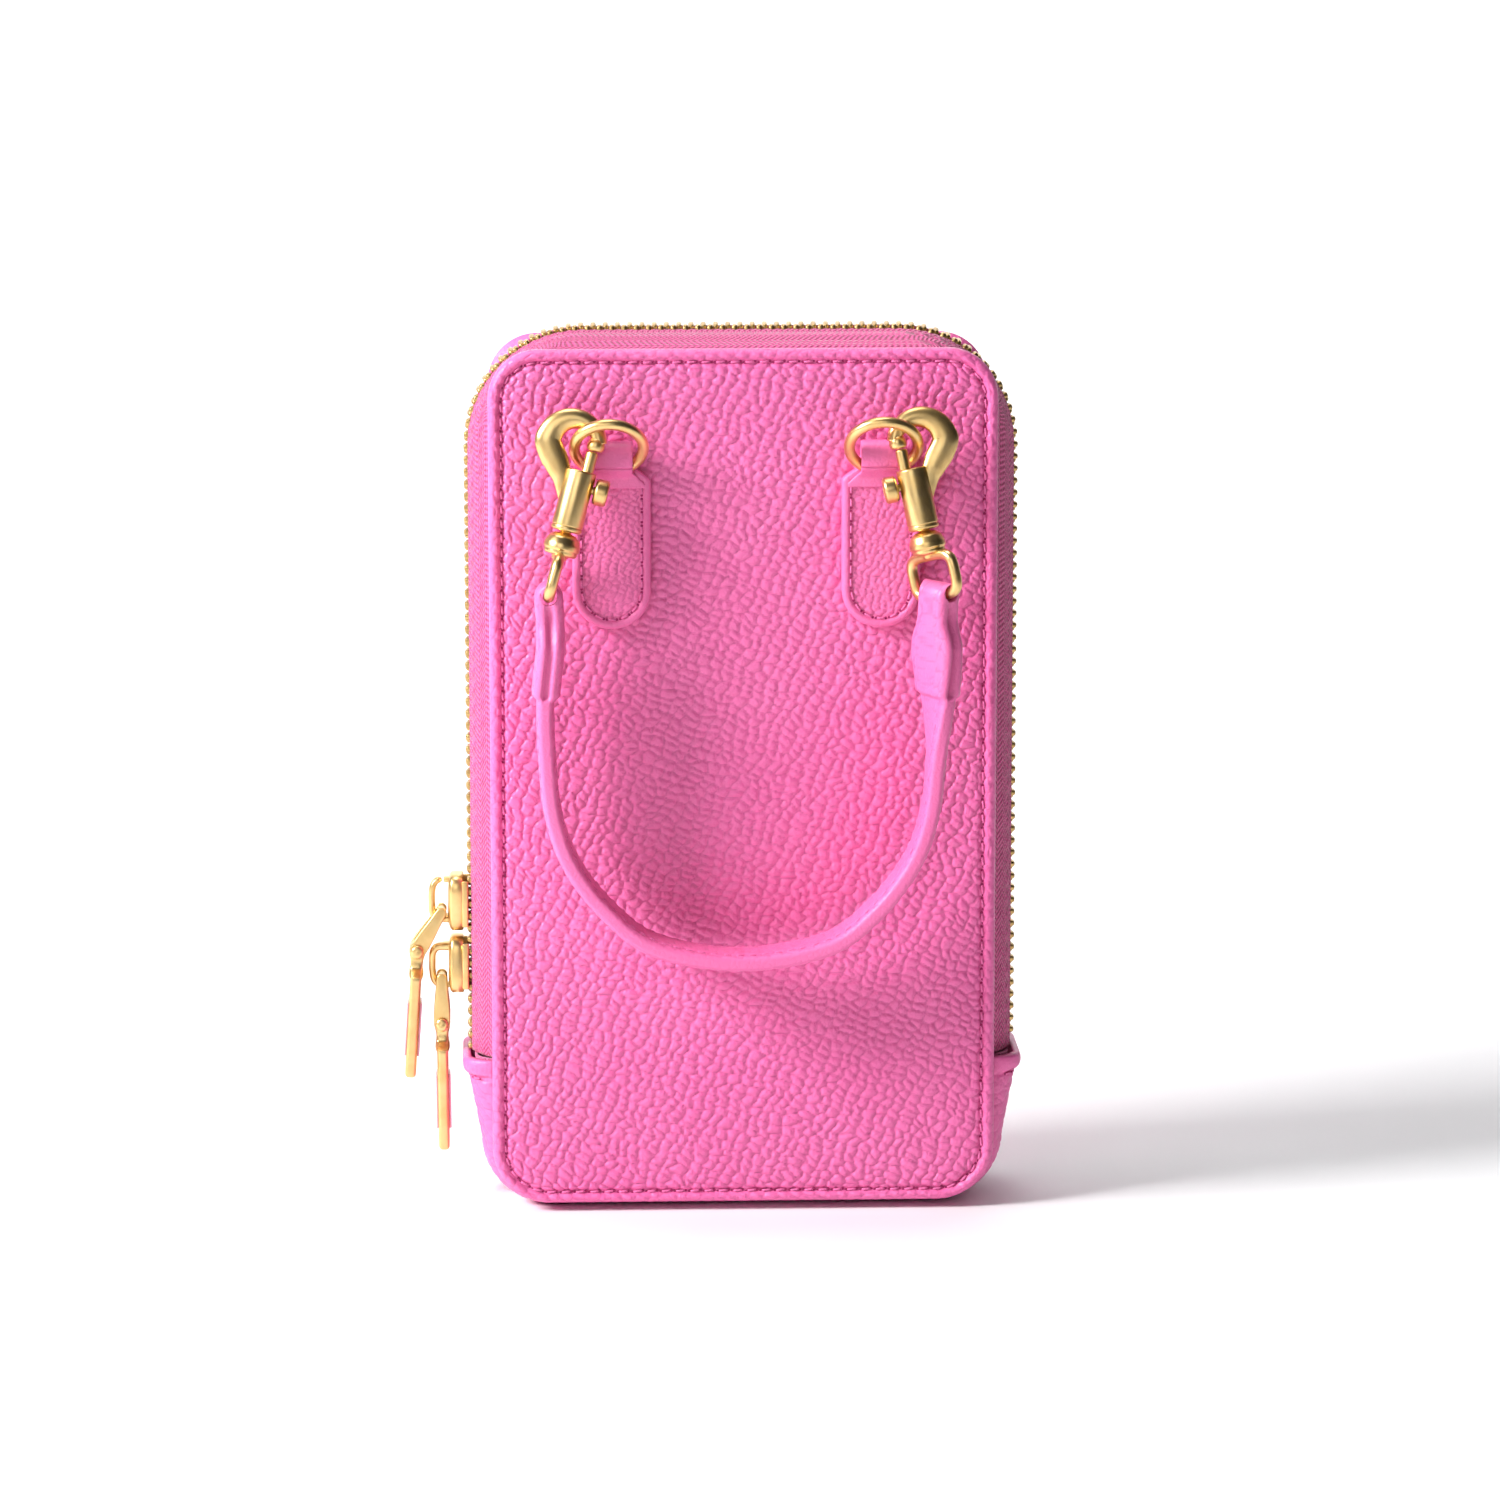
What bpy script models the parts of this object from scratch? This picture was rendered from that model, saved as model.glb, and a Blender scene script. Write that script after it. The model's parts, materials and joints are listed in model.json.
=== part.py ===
"""Zip-around wristlet wallet: a stiff leather case, hung from two snap hooks on a short padded strap.

Metres, +Z up, front towards -Y. The origin is the centre of the base, on the surface the wallet stands on.
"""
import math

import bmesh
import bpy
from mathutils import Matrix, Vector

# Case
PANEL_HALF_WIDTH = 0.0525
PANEL_BOTTOM = 0.0019
PANEL_TOP = 0.1815
TOP_RADIUS = 0.0105
BOTTOM_RADIUS = 0.0120
CASE_HALF_DEPTH = 0.0170
PANEL_THICKNESS = 0.0024
BOARD_THICKNESS = 0.0012
LINING_THICKNESS = 0.0008
GAP = 0.0003
INNER_INSET = 0.0062  # boards and linings stay this far inside the panels' outline
INNER_RADIUS = 0.0060

# Gusset and zip
EDGE_INSET = 0.0022  # tape and gusset are sewn this far inside the panels' outline
WALL_HALF_DEPTH = CASE_HALF_DEPTH - PANEL_THICKNESS - GAP
GUSSET_THICKNESS = 0.0013
GUSSET_TOP = 0.0316
GUSSET_HALF_WIDTH = 0.0583
GUSSET_BOTTOM_HALF_WIDTH = 0.0550
GUSSET_RADIUS = 0.0150
TAPE_THICKNESS = 0.0008
TEETH_HALF_WIDTH = 0.0576  # outer face of the teeth on the two straight sides
TEETH_TOP = 0.1851
TEETH_RADIUS = 0.0250
TEETH_THICKNESS = 0.0028
TEETH_ROW = 0.0024
TEETH_CENTRE_GAP = 0.0005  # each row stays this far from the middle, for the sliders' posts
ZIP_BOTTOM = GUSSET_TOP + 0.0006

# Pockets
CARD_HALF_WIDTH = 0.0445
CARD_BOTTOM = 0.0300
CARD_TOPS = (0.1100, 0.0920, 0.0740)
CARD_DEPTH = 0.0020
CARD_WALL = 0.0007
PHONE_HALF_WIDTH = 0.0450
PHONE_BOTTOM = 0.0120
PHONE_TOP = 0.1560
PHONE_DEPTH = 0.0094
PHONE_WALL = 0.0010

# Ring tabs
LEFT_TAB_X, RIGHT_TAB_X = -0.0272, 0.0282
TAB_HALF_WIDTH = 0.0081
TAB_BOTTOM = 0.1240
TAB_SHOULDER = 0.1530
TAB_NECK_HALF_WIDTH = 0.0043
TAB_THICKNESS = 0.0024
TAB_FOLD_TOP = 0.1632
FOLD_WALL = 0.0007
FOLD_BACK = CASE_HALF_DEPTH + GAP
FOLD_DEPTH = 0.0056
FOLD_BOTTOM = 0.1545

# Rings
RING_RADIUS = 0.00705
RING_WIRE = 0.0011
RING_PIVOT_Y = -0.0193
LEFT_RING_X, LEFT_RING_TILT = -0.0278, math.radians(40)
RIGHT_RING_X, RIGHT_RING_TILT = 0.0284, math.radians(39)
RING_PIVOT_Z = 0.1568

# Snap hooks, in their own frame: z along the barrel towards the bow, +x towards the knob
HANDLE_AXIS_Y, HANDLE_AXIS_Z = -0.0250, 0.1645
HOOK_EYE_Y, HOOK_EYE_HEIGHT = -0.0250, 0.1622  # where each ring passes through its hook
HOOK_EYE_X, HOOK_EYE_Z = -0.0029, 0.0166
LEFT_HOOK_EYE_X, LEFT_HOOK_ROLL = -0.0352, math.radians(15)
RIGHT_HOOK_EYE_X, RIGHT_HOOK_ROLL = 0.0359, math.radians(-12)
HOOK_LEAN = math.radians(8)
BARREL_RADIUS, BARREL_LENGTH = 0.0031, 0.0128
BOW_CENTRE_X, BOW_CENTRE_Z, BOW_RADIUS = -0.0029, 0.0176, 0.0050
BOW_HALF_THICKNESS, BOW_HALF_WIDTH = 0.0014, 0.0021
BOW_FOOT_X, BOW_FOOT_Z = -0.0012, 0.0114
BOLT_X, BOLT_RADIUS, BOLT_BOTTOM, BOLT_TOP = 0.0012, 0.00125, 0.0080, 0.0171
BOLT_CLEARANCE = 0.0002
KNOB_Z, KNOB_RADIUS, KNOB_STEM = 0.0094, 0.0020, 0.0008
BORE_BOTTOM = 0.0030
SLOT_BOTTOM, SLOT_TOP = 0.0050, 0.0104
SPRING_COIL, SPRING_WIRE, SPRING_TURNS = 0.00095, 0.00020, 5
SWIVEL_STEM, SWIVEL_BORE, SWIVEL_DEPTH = 0.0011, 0.0013, 0.0024
SWIVEL_DOME_Z, SWIVEL_DOME = -0.0031, 0.0026
EYE_HALF_WIDTH, EYE_HALF_HEIGHT, EYE_WIRE = 0.0061, 0.0042, 0.0011
EYE_CENTRE_Z = -0.0096
LEFT_EYE_TURN, RIGHT_EYE_TURN = math.radians(90), math.radians(50)

# Wrist strap
STRAP_WIDTH = 0.0120
STRAP_NECK_WIDTH = 0.0080
STRAP_THICKNESS = 0.0038
STRAP_FOLD_RADIUS = 0.0030
STRAP_BORE = 0.0018
STRAP_TAIL, TWIST_LENGTH = 0.0200, 0.0380
STRAP_LOW_Z = 0.0566

# Sliders and pulls; every pull hinge is along Y
SLIDER_HALF_WIDTH = 0.0046
SLIDER_LENGTH = 0.0122
UPPER_SLIDER_BOTTOM = 0.0573
SLIDER_MIRROR_Z = 0.05675
SLOT_OUTER, SLOT_INNER = 0.0583, 0.0541
PLATE_OUTER, PLATE_INNER = 0.0612, 0.0527
POST_HALF_WIDTH, POST_LENGTH = 0.0003, 0.0025
BRIDGE_OUTER, BRIDGE_HALF_WIDTH = 0.0657, 0.0013
BRIDGE_WALL = 0.0013
BRIDGE_BOTTOM, BRIDGE_TOP = 0.0594, 0.0688
PIVOT_X, UPPER_PIVOT_Z, LOWER_PIVOT_Z = -0.0630, 0.0613, 0.0471
LINK_LENGTH, LINK_HALF_WIDTH, LINK_BAR = 0.0096, 0.0013, 0.00085
ARM_INNER, ARM_OUTER = 0.0021, 0.0031
RIVET_RADIUS, RIVET_HEAD, RIVET_HEAD_HEIGHT = 0.0009, 0.0016, 0.0007
RUNNING_CLEARANCE = 0.00008
PULL_LENGTH, PULL_HALF_WIDTH, PULL_HALF_THICKNESS = 0.0270, 0.0042, 0.0012
PULL_HEAD_RADIUS = 0.0018
INLAY_TOP, INLAY_BOTTOM, INLAY_HALF_WIDTH = 0.0115, 0.0220, 0.0026
INLAY_PROUD = 0.0003
UPPER_LINK_ANGLE, UPPER_PULL_ANGLE = math.radians(31.7), math.radians(3.8)
LOWER_LINK_ANGLE, LOWER_PULL_ANGLE = 0.0, math.radians(-0.6)

LEATHER = ("leather", (0.84, 0.135, 0.42), 0.55, 0.0)
STRAP_LEATHER = ("strap_leather", (0.86, 0.165, 0.45), 0.5, 0.0)
TAPE = ("zip_tape", (0.78, 0.10, 0.34), 0.85, 0.0)
LINING = ("lining", (0.76, 0.20, 0.42), 0.9, 0.0)
BOARD = ("board", (0.62, 0.55, 0.45), 0.9, 0.0)
GOLD = ("hardware", (0.83, 0.65, 0.38), 0.25, 1.0)
TEETH = ("teeth", (0.80, 0.62, 0.34), 0.3, 1.0)
STEEL = ("spring_steel", (0.6, 0.6, 0.6), 0.35, 1.0)
ENAMEL = ("inlay", (0.90, 0.86, 0.80), 0.3, 0.0)


def clear_scene():
    for obj in list(bpy.data.objects):
        bpy.data.objects.remove(obj, do_unlink=True)


def collection(name, hidden=False):
    made = bpy.data.collections.new(name)
    bpy.context.scene.collection.children.link(made)
    made.hide_render = hidden
    return made


def material(look, node):
    _, colour, roughness, metallic = look
    made = bpy.data.materials.new(node)
    made.use_nodes = True
    shader = made.node_tree.nodes["Principled BSDF"]
    shader.inputs["Base Color"].default_value = (*colour, 1.0)
    shader.inputs["Roughness"].default_value = roughness
    shader.inputs["Metallic"].default_value = metallic
    made.diffuse_color = (*colour, 1.0)
    return made


def hold(obj, holder):
    """Parents an object whose mesh is in world coordinates."""
    if holder:
        obj.parent = holder
        obj.matrix_parent_inverse = holder.matrix_world.inverted()


def add(name, bm, look=None, parent=None, held_by=None):
    """Makes an object of the mesh: a part with a look, or a hidden cutter without one.

    The mesh is in its parent's coordinates, or in world coordinates if it is only held by the parent.
    """
    bmesh.ops.recalc_face_normals(bm, faces=bm.faces)
    mesh = bpy.data.meshes.new(name)
    bm.to_mesh(mesh)
    bm.free()
    obj = bpy.data.objects.new(name, mesh)
    if look:
        PARTS.objects.link(obj)
        mesh.materials.append(material(look, name))
        mesh.shade_smooth()
        mesh.set_sharp_from_angle(angle=math.radians(40))
    else:
        CUTTERS.objects.link(obj)
        obj.hide_render = True
        obj.display_type = "WIRE"
    if parent:
        obj.parent = parent
    hold(obj, held_by)
    return obj


def empty(name, frame, parent=None):
    obj = bpy.data.objects.new(name, None)
    PARTS.objects.link(obj)
    obj.parent = parent
    obj.matrix_basis = frame
    bpy.context.view_layer.update()
    return obj


def boolean(obj, other, operation):
    step = obj.modifiers.new(operation.lower() + "_" + other.name, "BOOLEAN")
    step.operation = operation
    step.object = other
    step.solver = "EXACT"


def bevel(obj, width, segments=2, angle=35):
    step = obj.modifiers.new("bevel", "BEVEL")
    step.width = width
    step.segments = segments
    step.limit_method = "ANGLE"
    step.angle_limit = math.radians(angle)


def box(low, high):
    bm = bmesh.new()
    bmesh.ops.create_cube(bm, size=1.0)
    size = [b - a for a, b in zip(low, high)]
    centre = [(a + b) / 2 for a, b in zip(low, high)]
    bmesh.ops.scale(bm, vec=size, verts=bm.verts)
    bmesh.ops.translate(bm, vec=centre, verts=bm.verts)
    return bm


def cylinder(start, end, radius, sides=24, end_radius=None):
    start, end = Vector(start), Vector(end)
    run = end - start
    turn = run.to_track_quat("Z", "Y").to_matrix().to_4x4()
    bm = bmesh.new()
    bmesh.ops.create_cone(
        bm, cap_ends=True, segments=sides, radius1=radius,
        radius2=radius if end_radius is None else end_radius, depth=run.length,
        matrix=Matrix.Translation((start + end) / 2) @ turn,
    )
    return bm


def loft(sections, cyclic=False):
    """Skins equal rings of points; the two ends are capped unless the loft closes on itself."""
    bm = bmesh.new()
    rings = [[bm.verts.new(point) for point in section] for section in sections]
    pairs = list(zip(rings, rings[1:]))
    if cyclic:
        pairs.append((rings[-1], rings[0]))
    for first, second in pairs:
        for i in range(len(first)):
            j = (i + 1) % len(first)
            bm.faces.new((first[i], first[j], second[j], second[i]))
    if not cyclic:
        bm.faces.new(rings[0])
        bm.faces.new(rings[-1])
    return bm


def arc(centre, radius, start, end, steps):
    """Points from start to end, in degrees, on a circle in the XZ plane."""
    angles = [math.radians(start + (end - start) * i / steps) for i in range(steps + 1)]
    return [(centre[0] + radius * math.cos(a), centre[1] + radius * math.sin(a)) for a in angles]


def rounded_outline(half, bottom, top, bottom_radius, top_radius, steps=6):
    """A rounded rectangle in XZ, counter-clockwise from its lower left corner."""
    corners = (
        (-half + bottom_radius, bottom + bottom_radius, bottom_radius, 180),
        (half - bottom_radius, bottom + bottom_radius, bottom_radius, 270),
        (half - top_radius, top - top_radius, top_radius, 0),
        (-half + top_radius, top - top_radius, top_radius, 90),
    )
    return [p for x, z, r, a in corners for p in arc((x, z), r, a, a + 90, steps)]


def plate(name, outline, near, far, look, held_by=None, round_edge=0.0):
    """A flat outline in XZ, made solid between two depths."""
    bm = bmesh.new()
    face = bm.faces.new([bm.verts.new((x, near, z)) for x, z in outline])
    made = bmesh.ops.extrude_face_region(bm, geom=[face])
    moved = [v for v in made["geom"] if isinstance(v, bmesh.types.BMVert)]
    bmesh.ops.translate(bm, vec=(0, far - near, 0), verts=moved)
    obj = add(name, bm, look, held_by=held_by)
    if round_edge:
        bevel(obj, round_edge)
    return obj


def over_path(half, top, radius, bottom, straight=10, corner=8, across=8):
    """Points up the left side, over the top and down the right side, the same number for any size."""
    left = [(-half, bottom + (top - radius - bottom) * i / straight) for i in range(straight)]
    turn = arc((-half + radius, top - radius), radius, 180, 90, corner)
    reach = half - radius
    middle = [(-reach + 2 * reach * i / across, top) for i in range(1, across)]
    return left + turn + middle + [(-x, z) for x, z in reversed(left + turn)]


def under_path(half, bottom_half, top, radius, base, straight=5, corner=8, across=8):
    """Points down the left side, under the base and up the right side; the sides lean out upwards."""
    low = base + radius
    left = [
        (-half + (half - bottom_half) * i / straight, top - (top - low) * i / straight)
        for i in range(straight)
    ]
    turn = arc((-bottom_half + radius, low), radius, 180, 270, corner)
    reach = bottom_half - radius
    middle = [(-reach + 2 * reach * i / across, base) for i in range(1, across)]
    return left + turn + middle + [(-x, z) for x, z in reversed(left + turn)]


def wall(name, edge, crown, depths, thickness, look, held_by=None):
    """A curved strip: at each depth it lies between the edge path and the crown path."""
    bm = bmesh.new()
    rows = []
    for (ex, ez), (cx, cz) in zip(edge, crown):
        rows.append([bm.verts.new((ex + (cx - ex) * s, y, ez + (cz - ez) * s)) for y, s in depths])
    for first, second in zip(rows, rows[1:]):
        for j in range(len(depths) - 1):
            bm.faces.new((first[j], first[j + 1], second[j + 1], second[j]))
    bmesh.ops.recalc_face_normals(bm, faces=bm.faces)
    centre = bm.faces[:][len(bm.faces) // 2]
    if centre.normal.dot(centre.calc_center_median() - Vector((0, 0, (PANEL_TOP + PANEL_BOTTOM) / 2))) < 0:
        bmesh.ops.reverse_faces(bm, faces=bm.faces)
    mesh = bpy.data.meshes.new(name)
    bm.to_mesh(mesh)
    bm.free()
    obj = bpy.data.objects.new(name, mesh)
    PARTS.objects.link(obj)
    mesh.materials.append(material(look, name))
    mesh.shade_smooth()
    hold(obj, held_by)
    shell = obj.modifiers.new("shell", "SOLIDIFY")
    shell.thickness = thickness
    shell.offset = -1
    return obj


def tray(name, half, bottom, top, mouth_y, floor_y, thickness, held_by=None):
    """A pocket: a front wall with sides and bottom, open at the top and towards the lining."""
    sign = 1 if floor_y > mouth_y else -1
    block = box(*sorted_corners((-half, mouth_y, bottom), (half, floor_y, top)))
    obj = add(name, block, LINING, held_by=held_by)
    inner_low = (-half + thickness, mouth_y - sign * 0.001, bottom + thickness)
    inner_high = (half - thickness, floor_y - sign * thickness, top + 0.001)
    hollow = add(name + "_hollow", box(*sorted_corners(inner_low, inner_high)), held_by=held_by)
    boolean(obj, hollow, "DIFFERENCE")
    return obj


def sorted_corners(a, b):
    return [min(p, q) for p, q in zip(a, b)], [max(p, q) for p, q in zip(a, b)]


def case_half(side, held_by=None):
    """Panel, board, lining, zip tape and teeth of the front (side -1) or back (side 1)."""
    word = "front" if side < 0 else "back"
    outer = side * CASE_HALF_DEPTH
    outline = rounded_outline(PANEL_HALF_WIDTH, PANEL_BOTTOM, PANEL_TOP, BOTTOM_RADIUS, TOP_RADIUS)
    plate(word + "_panel", outline, outer, outer - side * PANEL_THICKNESS, LEATHER, held_by, 0.0006)
    inner = rounded_outline(
        PANEL_HALF_WIDTH - INNER_INSET, PANEL_BOTTOM + INNER_INSET, PANEL_TOP - INNER_INSET,
        INNER_RADIUS, INNER_RADIUS, 4,
    )
    board = side * WALL_HALF_DEPTH
    plate(word + "_board", inner, board, board - side * BOARD_THICKNESS, BOARD, held_by)
    lining = board - side * (BOARD_THICKNESS + GAP)
    plate(word + "_lining", inner, lining, lining - side * LINING_THICKNESS, LINING, held_by)

    edge = over_path(
        PANEL_HALF_WIDTH - EDGE_INSET, PANEL_TOP - EDGE_INSET, TOP_RADIUS - EDGE_INSET, ZIP_BOTTOM
    )
    middle = (TEETH_THICKNESS - TAPE_THICKNESS) / 2
    crown = over_path(TEETH_HALF_WIDTH - middle, TEETH_TOP - middle, TEETH_RADIUS - middle, ZIP_BOTTOM)
    last = TEETH_CENTRE_GAP + TEETH_ROW + GAP
    steps = [i / 5 for i in range(6)]
    depths = [
        (side * (WALL_HALF_DEPTH + (last - WALL_HALF_DEPTH) * t), math.sin(t * math.pi / 2)) for t in steps
    ]
    wall(word + "_zip_tape", edge, crown, depths, TAPE_THICKNESS, TAPE, held_by)
    near, far = side * TEETH_CENTRE_GAP, side * (TEETH_CENTRE_GAP + TEETH_ROW)
    top = over_path(TEETH_HALF_WIDTH, TEETH_TOP, TEETH_RADIUS, ZIP_BOTTOM)
    low = over_path(
        TEETH_HALF_WIDTH - TEETH_THICKNESS, TEETH_TOP - TEETH_THICKNESS, TEETH_RADIUS - TEETH_THICKNESS,
        ZIP_BOTTOM,
    )
    sections = [
        ((a[0], near, a[1]), (a[0], far, a[1]), (b[0], far, b[1]), (b[0], near, b[1]))
        for a, b in zip(top, low)
    ]
    add(word + "_teeth", loft(sections), TEETH, held_by=held_by)
    return lining - side * (LINING_THICKNESS + GAP)


def gusset():
    """The leather that joins front and back under the base, and its lining."""
    def build(name, inset, thickness, look, columns):
        half_depth = WALL_HALF_DEPTH - inset
        edge = under_path(
            PANEL_HALF_WIDTH - EDGE_INSET - inset, PANEL_HALF_WIDTH - EDGE_INSET - inset, GUSSET_TOP,
            BOTTOM_RADIUS - EDGE_INSET, PANEL_BOTTOM + EDGE_INSET + inset,
        )
        crown = under_path(
            GUSSET_HALF_WIDTH - inset, GUSSET_BOTTOM_HALF_WIDTH - inset, GUSSET_TOP, GUSSET_RADIUS - inset,
            inset,
        )
        flat = 0.6
        depths = []
        for i in range(columns + 1):
            t = 2 * i / columns - 1
            over = max(0.0, (abs(t) - flat) / (1 - flat))
            depths.append((t * half_depth, math.sqrt(max(0.0, 1 - over * over))))
        wall(name, edge, crown, depths, thickness, look)

    build("lower_gusset", 0.0, GUSSET_THICKNESS, LEATHER, 20)
    build("gusset_lining", GUSSET_THICKNESS + 3 * GAP, LINING_THICKNESS, LINING, 20)


def ring_tab(name, centre, held_by):
    """A leather strip folded over a ring: a round-ended plate, and a fold with a bore along X."""
    foot = arc((centre, TAB_BOTTOM + TAB_HALF_WIDTH), TAB_HALF_WIDTH, 180, 360, 12)
    rise = TAB_FOLD_TOP - 0.0012
    outline = foot + [
        (centre + TAB_HALF_WIDTH, TAB_SHOULDER),
        (centre + TAB_NECK_HALF_WIDTH + 0.0012, TAB_SHOULDER + 0.0032),
        (centre + TAB_NECK_HALF_WIDTH, TAB_SHOULDER + 0.0050),
        (centre + TAB_NECK_HALF_WIDTH, rise),
        (centre - TAB_NECK_HALF_WIDTH, rise),
        (centre - TAB_NECK_HALF_WIDTH, TAB_SHOULDER + 0.0050),
        (centre - TAB_NECK_HALF_WIDTH - 0.0012, TAB_SHOULDER + 0.0032),
        (centre - TAB_HALF_WIDTH, TAB_SHOULDER),
    ]
    obj = plate(name, outline, -FOLD_BACK, -FOLD_BACK - TAB_THICKNESS, LEATHER, held_by)
    # The fold's outline in YZ: a flat back, a round top and a front that slopes down to the plate.
    radius = FOLD_DEPTH / 2
    middle = (-FOLD_BACK - radius, TAB_FOLD_TOP - radius)
    outside = [(-FOLD_BACK, FOLD_BOTTOM - 0.0030)] + arc(middle, radius, 0, 180, 10)
    outside += [
        (-FOLD_BACK - FOLD_DEPTH, FOLD_BOTTOM + 0.0010),
        (-FOLD_BACK - TAB_THICKNESS, FOLD_BOTTOM - 0.0030),
    ]
    low, high = centre - TAB_NECK_HALF_WIDTH, centre + TAB_NECK_HALF_WIDTH
    fold = add(name + "_fold", loft([[(x, y, z) for y, z in outside] for x in (low, high)]), held_by=held_by)
    boolean(obj, fold, "UNION")
    inside = arc(middle, radius - FOLD_WALL, 0, 180, 10)
    inside += [(-FOLD_BACK - FOLD_DEPTH + FOLD_WALL, FOLD_BOTTOM + 0.0008)]
    inside += [(-FOLD_BACK - FOLD_WALL, FOLD_BOTTOM + 0.0008)]
    bore = loft([[(x, y, z) for y, z in inside] for x in (low - 0.002, high + 0.002)])
    boolean(obj, add(name + "_bore", bore, held_by=held_by), "DIFFERENCE")
    return obj


def ring(name, x, tilt, held_by):
    """A round wire ring that stands up from its pivot, tilted forward; the pivot is its lowest wire."""
    bpy.ops.mesh.primitive_torus_add(
        major_segments=40, minor_segments=12, major_radius=RING_RADIUS, minor_radius=RING_WIRE
    )
    obj = bpy.context.object
    obj.name = obj.data.name = name
    for owner in list(obj.users_collection):
        owner.objects.unlink(obj)
    PARTS.objects.link(obj)
    stand = Matrix.Rotation(math.radians(90), 4, "X")
    obj.data.transform(Matrix.Translation((0, 0, RING_RADIUS)) @ stand)
    obj.data.materials.append(material(GOLD, name))
    obj.data.shade_smooth()
    obj.matrix_basis = Matrix.Translation((x, RING_PIVOT_Y, RING_PIVOT_Z)) @ Matrix.Rotation(tilt, 4, "X")
    hold(obj, held_by)
    return obj


def bow_mesh():
    """The hook's bow: a crescent from the barrel, round over the ring, to a collar above the bolt."""
    foot = [
        (BOW_FOOT_X, BOW_FOOT_Z),
        (BOW_FOOT_X - 0.0022, BOW_FOOT_Z + 0.0004),
        (BOW_FOOT_X - 0.0043, BOW_FOOT_Z + 0.0016),
    ]
    route = [Vector((x, 0, z)) for x, z in foot + arc((BOW_CENTRE_X, BOW_CENTRE_Z), BOW_RADIUS, 208, 2, 6)]
    line = catmull(route, 2)
    sections = []
    for i, point in enumerate(line):
        along = (line[min(i + 1, len(line) - 1)] - line[max(i - 1, 0)]).normalized()
        across = along.cross(Vector((0, 1, 0)))
        t = i / (len(line) - 1)
        radial = BOW_HALF_WIDTH * (0.86 + 0.20 * math.sin(math.pi * min(1, t * 1.5)) - 0.10 * t)
        if i == len(line) - 1:
            radial *= 0.75
        turns = [2 * math.pi * k / 10 for k in range(10)]
        sections.append([
            point + radial * math.cos(p) * across + BOW_HALF_THICKNESS * math.sin(p) * Vector((0, 1, 0))
            for p in turns
        ])
    return loft(sections)


def oval(half_width, half_height, wire, centre_z, steps=32, sides=8):
    """A closed wire in the XZ plane, an oval with nearly straight top and bottom."""
    def spot(i):
        a = 2 * math.pi * i / steps
        c, s = math.cos(a), math.sin(a)
        return Vector((half_width * math.copysign(math.sqrt(abs(c)), c), 0,
                       centre_z + half_height * math.copysign(math.sqrt(abs(s)), s)))

    sections = []
    for i in range(steps):
        centre = spot(i)
        along = (spot(i + 1) - spot(i - 1)).normalized()
        across = along.cross(Vector((0, 1, 0)))
        sections.append([
            centre + wire * (math.cos(p) * across + math.sin(p) * Vector((0, 1, 0)))
            for p in (2 * math.pi * k / sides for k in range(sides))
        ])
    return loft(sections, cyclic=True)


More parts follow.
